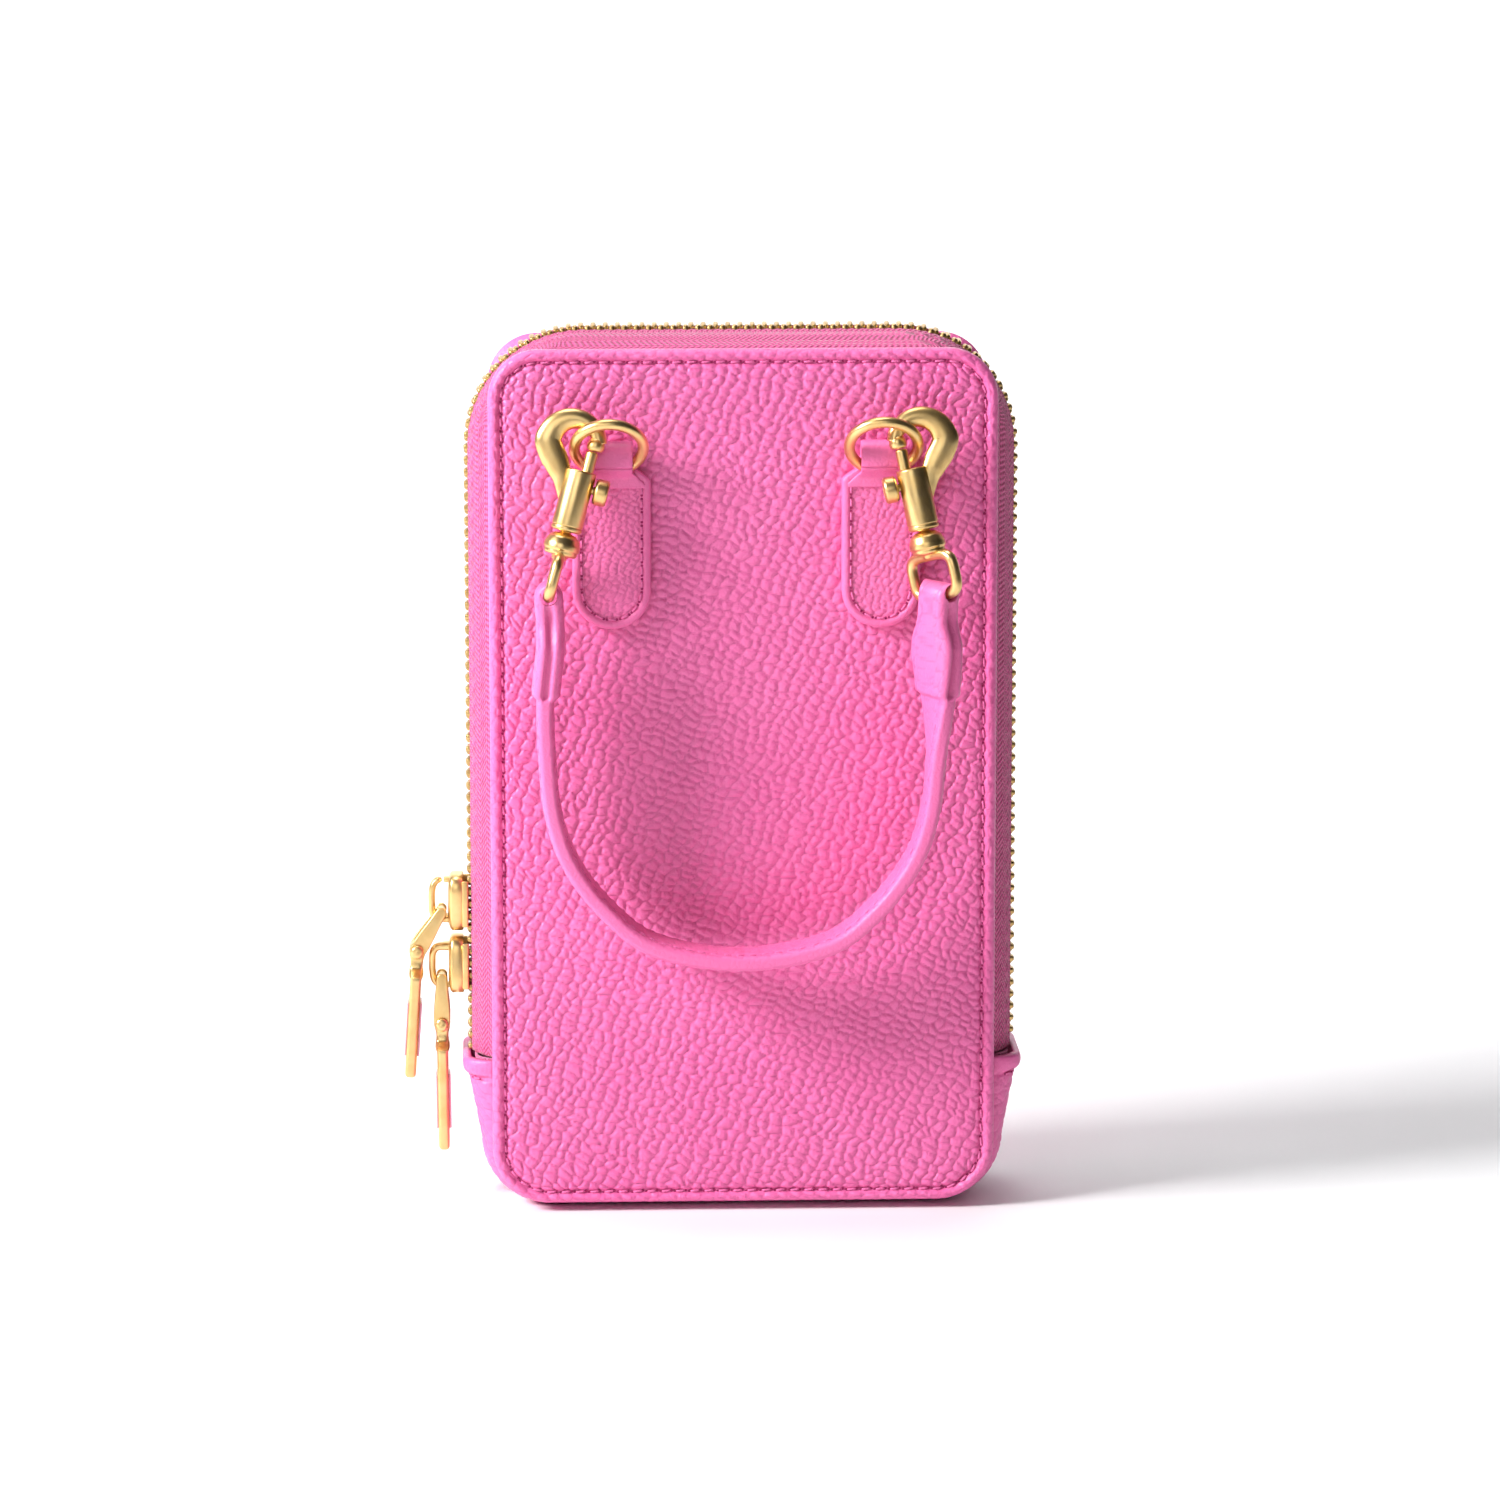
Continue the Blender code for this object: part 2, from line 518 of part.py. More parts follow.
def snap_hook(side, eye_x, roll, turn, parent):
    """Hook body, bolt, spring and swivel of one snap hook. The knob faces the middle of the wallet."""
    word = "left" if side < 0 else "right"
    frame = (
        Matrix.Translation((eye_x, HOOK_EYE_Y, HOOK_EYE_HEIGHT))
        @ Matrix.Rotation(-HOOK_LEAN, 4, "X")
        @ Matrix.Rotation(roll, 4, "Y")
        @ Matrix.Scale(-side, 4, (1, 0, 0))
        @ Matrix.Translation((-HOOK_EYE_X, 0, -HOOK_EYE_Z))
    )
    flip = Matrix.Scale(-side, 4, (1, 0, 0))
    base = empty(word + "_hook_frame", parent.matrix_world.inverted() @ frame @ flip, parent)

    def place(name, bm, look=None):
        # The frame holds no mirror, so the mesh is mirrored instead.
        bmesh.ops.transform(bm, matrix=flip, verts=bm.verts)
        return add(name, bm, look, base)

    body = place(word + "_hook", cylinder((0, 0, 0), (0, 0, BARREL_LENGTH), BARREL_RADIUS), GOLD)
    boolean(body, place(word + "_bow", bow_mesh()), "UNION")
    bore_top = (BOLT_X, 0, BARREL_LENGTH + 0.001)
    bore = cylinder((BOLT_X, 0, BORE_BOTTOM), bore_top, BOLT_RADIUS + BOLT_CLEARANCE)
    boolean(body, place(word + "_bore", bore), "DIFFERENCE")
    socket = cylinder((0, 0, -0.001), (0, 0, SWIVEL_DEPTH), SWIVEL_BORE, 16)
    boolean(body, place(word + "_socket", socket), "DIFFERENCE")
    slit = KNOB_STEM + BOLT_CLEARANCE
    slot = box((BOLT_X, -slit, SLOT_BOTTOM), (BARREL_RADIUS + 0.001, slit, SLOT_TOP))
    boolean(body, place(word + "_slot", slot), "DIFFERENCE")

    rod = cylinder((BOLT_X, 0, BOLT_BOTTOM), (BOLT_X, 0, BOLT_TOP), BOLT_RADIUS)
    bolt = place(word + "_bolt", rod, GOLD)
    stem = cylinder((BOLT_X, 0, KNOB_Z), (BARREL_RADIUS + 0.0010, 0, KNOB_Z), KNOB_STEM, 12)
    boolean(bolt, place(word + "_stem", stem), "UNION")
    knob = cylinder((BARREL_RADIUS + 0.0004, 0, KNOB_Z), (BARREL_RADIUS + 0.0026, 0, KNOB_Z), KNOB_RADIUS)
    boolean(bolt, place(word + "_knob", knob), "UNION")

    spring(word + "_bolt_spring", base, flip)
    stem = cylinder((0, 0, -0.0030), (0, 0, SWIVEL_DEPTH - GAP), SWIVEL_STEM, 16)
    swivel = place(word + "_swivel", stem, GOLD)
    collar = cylinder((0, 0, -0.0012), (0, 0, -GAP), 0.0030, 24, 0.0026)
    boolean(swivel, place(word + "_collar", collar), "UNION")
    dome = bmesh.new()
    bmesh.ops.create_uvsphere(dome, u_segments=20, v_segments=12, radius=SWIVEL_DOME)
    bmesh.ops.translate(dome, vec=(0, 0, SWIVEL_DOME_Z), verts=dome.verts)
    boolean(swivel, place(word + "_dome", dome), "UNION")
    loop = oval(EYE_HALF_WIDTH, EYE_HALF_HEIGHT, EYE_WIRE, EYE_CENTRE_Z)
    bmesh.ops.rotate(loop, cent=(0, 0, 0), matrix=Matrix.Rotation(turn, 3, "Z"), verts=loop.verts)
    boolean(swivel, place(word + "_loop", loop), "UNION")
    bar_way = base.matrix_world.to_3x3() @ (flip.to_3x3() @ Vector((math.cos(turn), math.sin(turn), 0)))
    bar_way *= math.copysign(1.0, bar_way.y)
    return base.matrix_world @ Vector((0, 0, EYE_CENTRE_Z - EYE_HALF_HEIGHT)), bar_way


def spring(name, parent, flip):
    """The coil under the bolt, on the bolt's own axis."""
    low, high = BORE_BOTTOM + SPRING_WIRE + 0.0001, BOLT_BOTTOM - SPRING_WIRE - 0.0001
    steps = SPRING_TURNS * 10
    curve = bpy.data.curves.new(name, "CURVE")
    curve.dimensions = "3D"
    curve.bevel_depth = SPRING_WIRE
    curve.bevel_resolution = 1
    curve.use_fill_caps = True
    line = curve.splines.new("POLY")
    line.points.add(steps)
    for i, point in enumerate(line.points):
        a = 2 * math.pi * SPRING_TURNS * i / steps
        x, y = BOLT_X + SPRING_COIL * math.cos(a), SPRING_COIL * math.sin(a)
        place = flip @ Vector((x, y, low + (high - low) * i / steps))
        point.co = (*place, 1.0)
    curve.materials.append(material(STEEL, name))
    obj = bpy.data.objects.new(name, curve)
    PARTS.objects.link(obj)
    obj.parent = parent
    return obj


def catmull(points, per_span):
    """A smooth curve through the points."""
    padded = [2 * points[0] - points[1]] + points + [2 * points[-1] - points[-2]]
    made = []
    for a, b, c, d in zip(padded, padded[1:], padded[2:], padded[3:]):
        for i in range(per_span):
            t = i / per_span
            made.append(0.5 * (2 * b + (c - a) * t + (2 * a - 5 * b + 4 * c - d) * t * t
                               + (3 * b - a - 3 * c + d) * t ** 3))
    made.append(points[-1])
    return made


def strap(left_bar, right_bar, held_by):
    """A flat padded strap in a U, standing on edge, each end folded round the bar of a swivel eye."""
    (left, left_way), (right, right_way) = left_bar, right_bar
    centre_x, half = (left.x + right.x) / 2 - 0.0004, (right.x - left.x) / 2
    y = (left.y + right.y) / 2
    inner = 1.0 * half
    low = STRAP_LOW_Z
    route = [
        left, Vector((left.x + 0.0003, left.y, left.z - 0.010)),
        Vector((centre_x - 1.01 * half, y, left.z - 0.022)),
        Vector((centre_x - inner, y, low + 0.0410)),
        Vector((centre_x - 0.89 * half, y, low + 0.0210)),
        Vector((centre_x - 0.44 * half, y, low + 0.0036)),
        Vector((centre_x, y, low)),
        Vector((centre_x + 0.44 * half, y, low + 0.0036)),
        Vector((centre_x + 0.89 * half, y, low + 0.0210)),
        Vector((centre_x + inner, y, low + 0.0410)),
        Vector((centre_x + 1.01 * half, y, right.z - 0.022)),
        Vector((right.x - 0.0003, right.y, right.z - 0.010)), right,
    ]
    line = catmull(route, 4)
    lengths = [0.0]
    for a, b in zip(line, line[1:]):
        lengths.append(lengths[-1] + (b - a).length)
    total = lengths[-1]
    # Past each bar the strap ends in half a circle, as its fold does.
    up = [STRAP_FOLD_RADIUS * math.sin(math.radians(a)) for a in (30, 60, 85)]
    first, last = (line[0] - line[1]).normalized(), (line[-1] - line[-2]).normalized()
    stations = [(line[0] + first * u, -u) for u in reversed(up)] + list(zip(line, lengths))
    stations += [(line[-1] + last * u, total + u) for u in up]
    sections = []
    for i, (point, run) in enumerate(stations):
        ahead, behind = stations[min(i + 1, len(stations) - 1)][0], stations[max(i - 1, 0)][0]
        along = (ahead - behind).normalized()
        near_end = min(run, total - run)
        end_way = left_way if run < total / 2 else right_way
        turned = min(1.0, max(0.0, (TWIST_LENGTH - near_end) / (TWIST_LENGTH - 0.006)))
        wide = Vector((0, 1, 0)).lerp(end_way, turned * turned * (3 - 2 * turned))
        wide = (wide - along * wide.dot(along)).normalized()
        thick = along.cross(wide)
        if near_end < 0:
            half_thick = math.sqrt(max(0.0, STRAP_FOLD_RADIUS ** 2 - near_end ** 2))
        else:
            double = min(1.0, max(0.0, (STRAP_TAIL + 0.002 - near_end) / 0.002))
            half_thick = STRAP_THICKNESS / 2 + (STRAP_FOLD_RADIUS - STRAP_THICKNESS / 2) * double
        neck = min(1.0, max(0.0, (0.010 - near_end) / 0.005))
        half_wide = STRAP_WIDTH / 2 + (STRAP_NECK_WIDTH - STRAP_WIDTH) / 2 * neck
        corner = 0.35 * half_thick
        ring_points = []
        for sx, sy in ((1, 1), (-1, 1), (-1, -1), (1, -1)):
            first_cut = (half_wide, half_thick - corner) if sx * sy > 0 else (half_wide - corner, half_thick)
            high_cut, side_cut = (half_wide - corner, half_thick), (half_wide, half_thick - corner)
            second_cut = high_cut if sx * sy > 0 else side_cut
            for w, t in (first_cut, second_cut):
                ring_points.append(point + wide * (sx * w) + thick * (sy * t))
        sections.append(ring_points)
    obj = add("wrist_strap", loft(sections), STRAP_LEATHER, held_by=held_by)
    for word, end, way in (("left", left, left_way), ("right", right, right_way)):
        bm = cylinder(end - 0.012 * way, end + 0.012 * way, STRAP_BORE, 16)
        boolean(obj, add(word + "_strap_bore", bm, held_by=held_by), "DIFFERENCE")
    return obj


def slider(name, mirrored, parent=None):
    """Two plates joined by a thin post between the rows of teeth, with a bridge on the outer one."""
    low, high = UPPER_SLIDER_BOTTOM, UPPER_SLIDER_BOTTOM + SLIDER_LENGTH
    shift = Matrix.Translation((0, 0, 2 * SLIDER_MIRROR_Z)) @ Matrix.Scale(-1, 4, (0, 0, 1))

    def piece(suffix, bm, look=None):
        if mirrored:
            bmesh.ops.transform(bm, matrix=shift, verts=bm.verts)
        return add(name + suffix, bm, look, parent)

    wide = SLIDER_HALF_WIDTH
    body = piece("", box((-PLATE_OUTER, -wide, low), (-SLOT_OUTER, wide, high)), GOLD)
    bevel(body, 0.0006)
    inner = box((-SLOT_INNER, -wide, low), (-PLATE_INNER, wide, high))
    boolean(body, piece("_inner_plate", inner), "UNION")
    post_low = (-SLOT_OUTER - 0.0005, -POST_HALF_WIDTH, high - POST_LENGTH)
    post = box(post_low, (-SLOT_INNER + 0.0005, POST_HALF_WIDTH, high - 0.0004))
    boolean(body, piece("_post", post), "UNION")
    crown = piece("_crown", box((-BRIDGE_OUTER, -BRIDGE_HALF_WIDTH, BRIDGE_BOTTOM),
                                (-PLATE_OUTER + 0.0005, BRIDGE_HALF_WIDTH, BRIDGE_TOP)))
    bevel(crown, 0.0011, 3, 60)
    boolean(body, crown, "UNION")
    hole = box((-BRIDGE_OUTER + BRIDGE_WALL, -0.003, BRIDGE_BOTTOM + BRIDGE_WALL * 0.7),
               (-PLATE_OUTER, 0.003, BRIDGE_TOP - BRIDGE_WALL))
    boolean(body, piece("_hole", hole), "DIFFERENCE")
    return body


def pull(word, pivot_z, link_angle, pull_angle):
    """Link, rivet, pull bar and inlay of one slider, each hanging from its hinge along Y."""
    link_base = empty(word + "_link_pivot", Matrix.Translation((PIVOT_X, 0, pivot_z))
                      @ Matrix.Rotation(link_angle, 4, "Y"))
    rivet_spot = Matrix.Translation((0, 0, -LINK_LENGTH))
    pull_frame = rivet_spot @ Matrix.Rotation(pull_angle - link_angle, 4, "Y")
    pull_base = empty(word + "_pull_pivot", pull_frame, link_base)

    link = add(word + "_pull_link", cylinder((0, -ARM_OUTER + 0.0002, 0), (0, ARM_OUTER - 0.0002, 0), LINK_BAR, 16),
               GOLD, link_base)
    rivet_hole = RIVET_RADIUS + RUNNING_CLEARANCE
    for side in (-1, 1):
        outline = arc((0, 0), LINK_HALF_WIDTH, 0, 180, 8)
        outline += arc((0, -LINK_LENGTH), LINK_HALF_WIDTH + 0.0003, 180, 360, 8)
        low, high = sorted((side * ARM_INNER, side * ARM_OUTER))
        arm = loft([[(x, y, z) for x, z in outline] for y in (low, high)])
        boolean(link, add(word + ("_near_arm" if side < 0 else "_far_arm"), arm, parent=link_base), "UNION")
    drill = cylinder((0, -0.01, -LINK_LENGTH), (0, 0.01, -LINK_LENGTH), rivet_hole, 16)
    boolean(link, add(word + "_link_hole", drill, parent=link_base), "DIFFERENCE")

    bar = add(word + "_pull_bar", box((-PULL_HALF_THICKNESS, -PULL_HALF_WIDTH, -PULL_LENGTH),
                                      (PULL_HALF_THICKNESS, PULL_HALF_WIDTH, -0.0052)), GOLD, pull_base)
    bevel(bar, 0.0009)
    head = cylinder((0, -ARM_INNER + GAP, 0), (0, ARM_INNER - GAP, 0), PULL_HEAD_RADIUS, 20)
    boolean(bar, add(word + "_head", head, parent=pull_base), "UNION")
    neck_half = PULL_HEAD_RADIUS * 0.85
    neck = box((-neck_half, -ARM_INNER + GAP, -0.0070), (neck_half, ARM_INNER - GAP, 0))
    boolean(bar, add(word + "_neck", neck, parent=pull_base), "UNION")
    drill = cylinder((0, -0.01, 0), (0, 0.01, 0), rivet_hole, 16)
    boolean(bar, add(word + "_bar_hole", drill, parent=pull_base), "DIFFERENCE")
    window_half = INLAY_HALF_WIDTH + GAP
    window = box((-0.005, -window_half, -INLAY_BOTTOM - GAP), (0.005, window_half, -INLAY_TOP + GAP))
    boolean(bar, add(word + "_window", window, parent=pull_base), "DIFFERENCE")
    proud = PULL_HALF_THICKNESS + INLAY_PROUD
    inlay = box((-proud, -INLAY_HALF_WIDTH, -INLAY_BOTTOM), (proud, INLAY_HALF_WIDTH, -INLAY_TOP))
    bevel(add(word + "_pull_inlay", inlay, ENAMEL, pull_base), 0.0003, 1)

    span = ARM_OUTER + GAP
    shaft = cylinder((0, -span - 0.0002, 0), (0, span + 0.0002, 0), RIVET_RADIUS, 16)
    rivet = add(word + "_pull_rivet", shaft, GOLD, pull_base)
    for side in (-1, 1):
        cap_end = (0, side * (span + RIVET_HEAD_HEIGHT), 0)
        cap = cylinder((0, side * span, 0), cap_end, RIVET_HEAD, 20, 0.0011)
        boolean(rivet, add(word + ("_near_cap" if side < 0 else "_far_cap"), cap, parent=pull_base), "UNION")


clear_scene()
PARTS = collection("wristlet_wallet")
CUTTERS = collection("cutters", hidden=True)

cover = empty("front_cover", Matrix.Translation((0, -WALL_HALF_DEPTH, PANEL_BOTTOM + 0.0007)))
front_inside = case_half(-1, cover)
back_inside = case_half(1)
gusset()
phone_mouth = front_inside + PHONE_DEPTH
tray("phone_pocket", PHONE_HALF_WIDTH, PHONE_BOTTOM, PHONE_TOP, front_inside, phone_mouth, PHONE_WALL, cover)
mouth = back_inside
for word, card_top in zip(("back", "middle", "front"), CARD_TOPS):
    tray(word + "_card_pocket", CARD_HALF_WIDTH, CARD_BOTTOM, card_top, mouth, mouth - CARD_DEPTH, CARD_WALL)
    mouth -= CARD_DEPTH + GAP

ring_tab("left_ring_tab", LEFT_TAB_X, cover)
ring_tab("right_ring_tab", RIGHT_TAB_X, cover)
ring("left_ring", LEFT_RING_X, LEFT_RING_TILT, cover)
ring("right_ring", RIGHT_RING_X, RIGHT_RING_TILT, cover)

handle = empty("handle", Matrix.Translation((0, HANDLE_AXIS_Y, HANDLE_AXIS_Z)))
left_eye_bar = snap_hook(-1, LEFT_HOOK_EYE_X, LEFT_HOOK_ROLL, LEFT_EYE_TURN, handle)
right_eye_bar = snap_hook(1, RIGHT_HOOK_EYE_X, RIGHT_HOOK_ROLL, RIGHT_EYE_TURN, handle)
strap(left_eye_bar, right_eye_bar, handle)

slider("upper_slider", mirrored=False)
slider("lower_slider", mirrored=True)
pull("upper", UPPER_PIVOT_Z, UPPER_LINK_ANGLE, UPPER_PULL_ANGLE)
pull("lower", LOWER_PIVOT_Z, LOWER_LINK_ANGLE, LOWER_PULL_ANGLE)
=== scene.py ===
"""Looks of the wristlet wallet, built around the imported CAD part.

Metres, +Z up, front towards -Y. Places come from the CAD nodes' boxes or the record's joints, and mm() turns
the sizes of profiles from millimetres. Side -1 is the front half and 1 the back half.
"""

import json
import math

import bmesh
import bpy
import numpy as np
from mathutils import Matrix, Vector


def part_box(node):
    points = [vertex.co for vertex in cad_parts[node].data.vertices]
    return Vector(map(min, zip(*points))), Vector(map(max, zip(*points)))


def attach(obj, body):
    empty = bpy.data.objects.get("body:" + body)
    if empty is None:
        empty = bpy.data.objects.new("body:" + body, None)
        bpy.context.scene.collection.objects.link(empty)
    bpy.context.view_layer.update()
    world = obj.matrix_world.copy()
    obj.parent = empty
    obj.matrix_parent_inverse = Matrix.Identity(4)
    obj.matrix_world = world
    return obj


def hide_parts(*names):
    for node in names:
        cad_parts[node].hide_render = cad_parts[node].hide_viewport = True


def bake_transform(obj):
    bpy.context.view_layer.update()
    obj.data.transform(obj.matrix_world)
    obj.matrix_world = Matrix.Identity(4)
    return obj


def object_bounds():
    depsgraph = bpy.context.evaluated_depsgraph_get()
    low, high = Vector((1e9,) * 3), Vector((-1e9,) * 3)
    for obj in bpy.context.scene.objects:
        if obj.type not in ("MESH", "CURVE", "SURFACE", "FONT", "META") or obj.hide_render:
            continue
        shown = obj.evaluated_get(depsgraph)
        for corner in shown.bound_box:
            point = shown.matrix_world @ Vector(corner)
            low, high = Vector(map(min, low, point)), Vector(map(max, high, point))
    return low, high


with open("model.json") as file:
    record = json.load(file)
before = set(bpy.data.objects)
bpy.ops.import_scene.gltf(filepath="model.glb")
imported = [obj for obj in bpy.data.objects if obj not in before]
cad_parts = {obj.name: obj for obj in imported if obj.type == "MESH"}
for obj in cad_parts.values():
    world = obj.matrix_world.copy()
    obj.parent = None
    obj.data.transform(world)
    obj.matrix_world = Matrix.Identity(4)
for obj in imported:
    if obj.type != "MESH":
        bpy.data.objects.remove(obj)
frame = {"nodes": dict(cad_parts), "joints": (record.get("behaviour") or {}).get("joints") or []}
CAD_LOW, CAD_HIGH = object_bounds()
JOINTS = {joint["name"]: joint for joint in frame["joints"]}
MM = 0.001
Y_AXIS = np.array([0, 1.0, 0])


def mm(*values):
    return np.array(values, float) * MM


# ---------------------------------------------------------------- materials

def feed(made, inputs):
    """Sets a node's inputs: a socket is linked, anything else becomes the default value."""
    for key, value in dict(inputs).items():
        if isinstance(value, bpy.types.NodeSocket):
            made.id_data.links.new(value, made.inputs[key])
        else:
            made.inputs[key].default_value = value


def shader(name):
    """An empty material with its Principled node and a helper that adds nodes."""
    mat = bpy.data.materials.new(name)
    mat.use_nodes = True

    def node(kind, inputs=(), **settings):
        made = mat.node_tree.nodes.new("ShaderNode" + kind)
        for key, value in settings.items():
            setattr(made, key, value)
        feed(made, inputs)
        return made

    return mat, mat.node_tree.nodes["Principled BSDF"], node, node("TexCoord").outputs["Object"]


def mix(node, factor, *colours):
    a, b = (c if isinstance(c, bpy.types.NodeSocket) else (*c, 1.0) for c in colours)
    return node("Mix", {0: factor, 6: a, 7: b}, data_type="RGBA").outputs[2]


def ramp(node, source, low, high, to_low=0.0, to_high=1.0):
    return node("MapRange", {"Value": source, "From Min": low, "From Max": high,
                             "To Min": to_low, "To Max": to_high}).outputs["Result"]


def calc(node, operation, *values):
    return node("Math", enumerate(values), operation=operation).outputs[0]


def mottle(node, place, scale, detail):
    return node("TexNoise", {"Vector": place, "Scale": scale, "Detail": detail}).outputs["Fac"]


def relief(node, height, strength, distance):
    return node("Bump", {"Height": height, "Strength": strength, "Distance": distance}).outputs["Normal"]


def leather(name, base, deep, light, roughness=0.39, bump=0.35):
    """Grained leather: painted shade in the creases that the mesh states, fine pores, a soft uneven sheen."""
    mat, bsdf, node, place = shader(name)
    painted_crease_shade = node("Attribute", attribute_name="painted_crease_shade").outputs["Fac"]
    fleck = mottle(node, place, 1400.0, 2.0)
    tone = mix(node, ramp(node, mottle(node, place, 45.0, 3.0), 0.3, 0.7), base, light)
    pores = node("TexVoronoi", {"Vector": place, "Scale": 900.0}, feature="DISTANCE_TO_EDGE")
    height = calc(node, "ADD", ramp(node, pores.outputs["Distance"], 0.0, 0.25), fleck)
    # painted shade: the creases, grooves and splits that the mesh marks are mixed towards the darker colour
    # deep
    feed(bsdf, {"Base Color": mix(node, ramp(node, painted_crease_shade, 0.20, 1.0, 0.0, 0.42), tone, deep),
                "Normal": relief(node, height, bump, 0.00012),
                "Roughness": ramp(node, fleck, 0.3, 0.7, roughness - 0.06, roughness + 0.08),
                "Specular IOR Level": 0.45, "Sheen Weight": 0.03, "Sheen Roughness": 0.4})
    return mat


def metal(name, base, dark, roughness, wear=0.05):
    """Plated metal with a slightly uneven satin, darker where it is rubbed less."""
    mat, bsdf, node, place = shader(name)
    cloud = mottle(node, place, 260.0, 4.0)
    feed(bsdf, {"Base Color": mix(node, ramp(node, cloud, 0.35, 0.75), base, dark),
                "Roughness": ramp(node, cloud, 0.3, 0.7, roughness - wear, roughness + wear),
                "Normal": relief(node, mottle(node, place, 5200.0, 2.0), 0.16, 0.00003),
                "Metallic": 1.0})
    return mat


def woven(name, base, deep, pitch, chevron):
    """Twill, or herringbone with chevron, in the mesh's own weave coordinates in metres, with painted shade
    in the low parts of the weave.
    """
    mat, bsdf, node, place = shader(name)
    cloth = node("Attribute", attribute_name="weave").outputs["Vector"]
    parts = node("SeparateXYZ", {0: cloth})
    along, across = parts.outputs["X"], parts.outputs["Y"]
    fold = calc(node, "PINGPONG", across, chevron) if chevron else across
    slant = calc(node, "ADD", along, fold)
    wave = calc(node, "SINE", calc(node, "MULTIPLY", slant, 2 * math.pi / pitch))
    rib = calc(node, "SINE", calc(node, "MULTIPLY", across, 2 * math.pi / (pitch * 0.62)))
    both = calc(node, "MULTIPLY_ADD", rib, 0.55, wave)
    height = calc(node, "MULTIPLY_ADD", mottle(node, place, 3800.0, 2.0), 1.2, both)
    # painted shade: the weave's low parts are mixed towards the darker colour deep; the mottling adds tone
    # that differs at random
    feed(bsdf, {"Base Color": mix(node, ramp(node, height, -0.9, 1.3), deep, base),
                "Normal": relief(node, height, 0.7, 0.00012), "Roughness": 0.85, "Sheen Weight": 0.3})
    return mat


def plain(name, base, roughness, scale, spread, coat=0.0):
    """A material with a fine mottling of its one colour and a slight relief."""
    mat, bsdf, node, place = shader(name)
    cloud = mottle(node, place, scale, 4.0)
    dark = tuple(c * (1 - spread) for c in base)
    feed(bsdf, {"Base Color": mix(node, ramp(node, cloud, 0.3, 0.7), dark, base),
                "Roughness": ramp(node, cloud, 0.3, 0.7, roughness - 0.05, roughness + 0.05),
                "Normal": relief(node, cloud, 0.25, 0.00005), "Coat Weight": coat})
    return mat


# The second colour of each leather is its painted shade in creases, grooves and splits; the third is a
# lighter tone that differs at random.
LEATHER = leather("pebbled_leather", (0.83, 0.145, 0.40), (0.42, 0.02, 0.14), (0.86, 0.17, 0.43))
STRAP_LEATHER = leather("strap_leather", (0.83, 0.15, 0.395), (0.36, 0.02, 0.12), (0.86, 0.17, 0.42),
                        roughness=0.42, bump=0.3)
THREAD = plain("thread", (0.86, 0.17, 0.44), 0.6, 2600.0, 0.25)
# The needle holes are flat dark discs on the surface: painted shade.
HOLE_SHADE = plain("needle_hole_shade", (0.36, 0.02, 0.12), 0.9, 900.0, 0.2)
# The second colour of each cloth is the painted shade in the low parts of its weave.
TAPE = woven("zip_tape", (0.80, 0.11, 0.34), (0.34, 0.012, 0.09), 0.0011, 0.0022)
LINING = woven("lining_cloth", (0.76, 0.20, 0.42), (0.56, 0.10, 0.27), 0.0006, 0.0)
GOLD = metal("satin_gold", (0.84, 0.60, 0.27), (0.76, 0.50, 0.19), 0.33)
BRASS = metal("zip_brass", (0.60, 0.40, 0.17), (0.40, 0.25, 0.09), 0.30)
STEEL = metal("spring_steel", (0.55, 0.55, 0.56), (0.42, 0.42, 0.44), 0.3)
BOARD = plain("fibre_board", (0.34, 0.26, 0.18), 0.9, 700.0, 0.3)
ENAMEL = plain("enamel", (0.86, 0.46, 0.58), 0.18, 300.0, 0.05, 0.6)


# ---------------------------------------------------------------- meshes

def piece(name, points, faces, mats, body=None, stands_for=(), slot=None, groups=None, painted_crease_shade=None,
          weave=None):
    """A smooth mesh object from arrays. groups gives each face's material index. The painted crease shade and
    the weave are values of the first points, and the rest get 0."""
    mesh = bpy.data.meshes.new(name)
    mesh.from_pydata(np.asarray(points, float).reshape(-1, 3).tolist(), [], faces)
    for mat in mats if isinstance(mats, list) else [mats]:
        mesh.materials.append(mat)
    if groups is not None:
        mesh.polygons.foreach_set("material_index", np.asarray(groups, np.int32))
    for key, kind, field, values in (("weave", "FLOAT_VECTOR", "vector", weave),
                                     ("painted_crease_shade", "FLOAT", "value", painted_crease_shade)):
        if values is not None:
            full = np.zeros(len(mesh.vertices) * (3 if field == "vector" else 1), np.float32)
            full[:values.size] = values.ravel()
            mesh.attributes.new(key, kind, "POINT").data.foreach_set(field, full)
    mesh.shade_smooth()
    obj = bpy.data.objects.new(name, mesh)
    bpy.context.scene.collection.objects.link(obj)
    if stands_for:
        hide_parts(*stands_for)
    if body:
        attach(obj, body)
    return obj


def unit(vectors):
    return vectors / np.maximum(np.linalg.norm(vectors, axis=-1, keepdims=True), 1e-12)


def turn(count, offset=0.0):
    """Angles spread evenly round a circle."""
    return (np.arange(count) + offset) * 2 * np.pi / count


def squash(values, power):
    """Sines or cosines bent towards a square, so that a circle becomes a rounded box."""
    return np.sign(values) * np.abs(values) ** power


def smooth_step(t):
    t = np.clip(t, 0, 1)
    return t * t * (3 - 2 * t)


def half_of(side):
    return ("front", "front_cover") if side < 0 else ("back", "case")


def grid_faces(rows, columns, start=0, flip=False, wrap=False):
    """Quads of a grid of rows x columns points; with wrap, the last column joins the first."""
    faces = []
    reach = columns if wrap else columns - 1
    for i in range(rows - 1):
        for j in range(reach):
            k = (j + 1) % columns
            quad = (start + i * columns + j, start + i * columns + k,
                    start + (i + 1) * columns + k, start + (i + 1) * columns + j)
            faces.append(quad[::-1] if flip else quad)
    return faces


def rim(rows, columns):
    """Indices round the edge of a grid."""
    index = np.arange(rows * columns).reshape(rows, columns)
    sides = (index[0], index[1:, -1], index[-1, -2::-1], index[-2:0:-1, 0])
    return np.concatenate(sides).tolist()


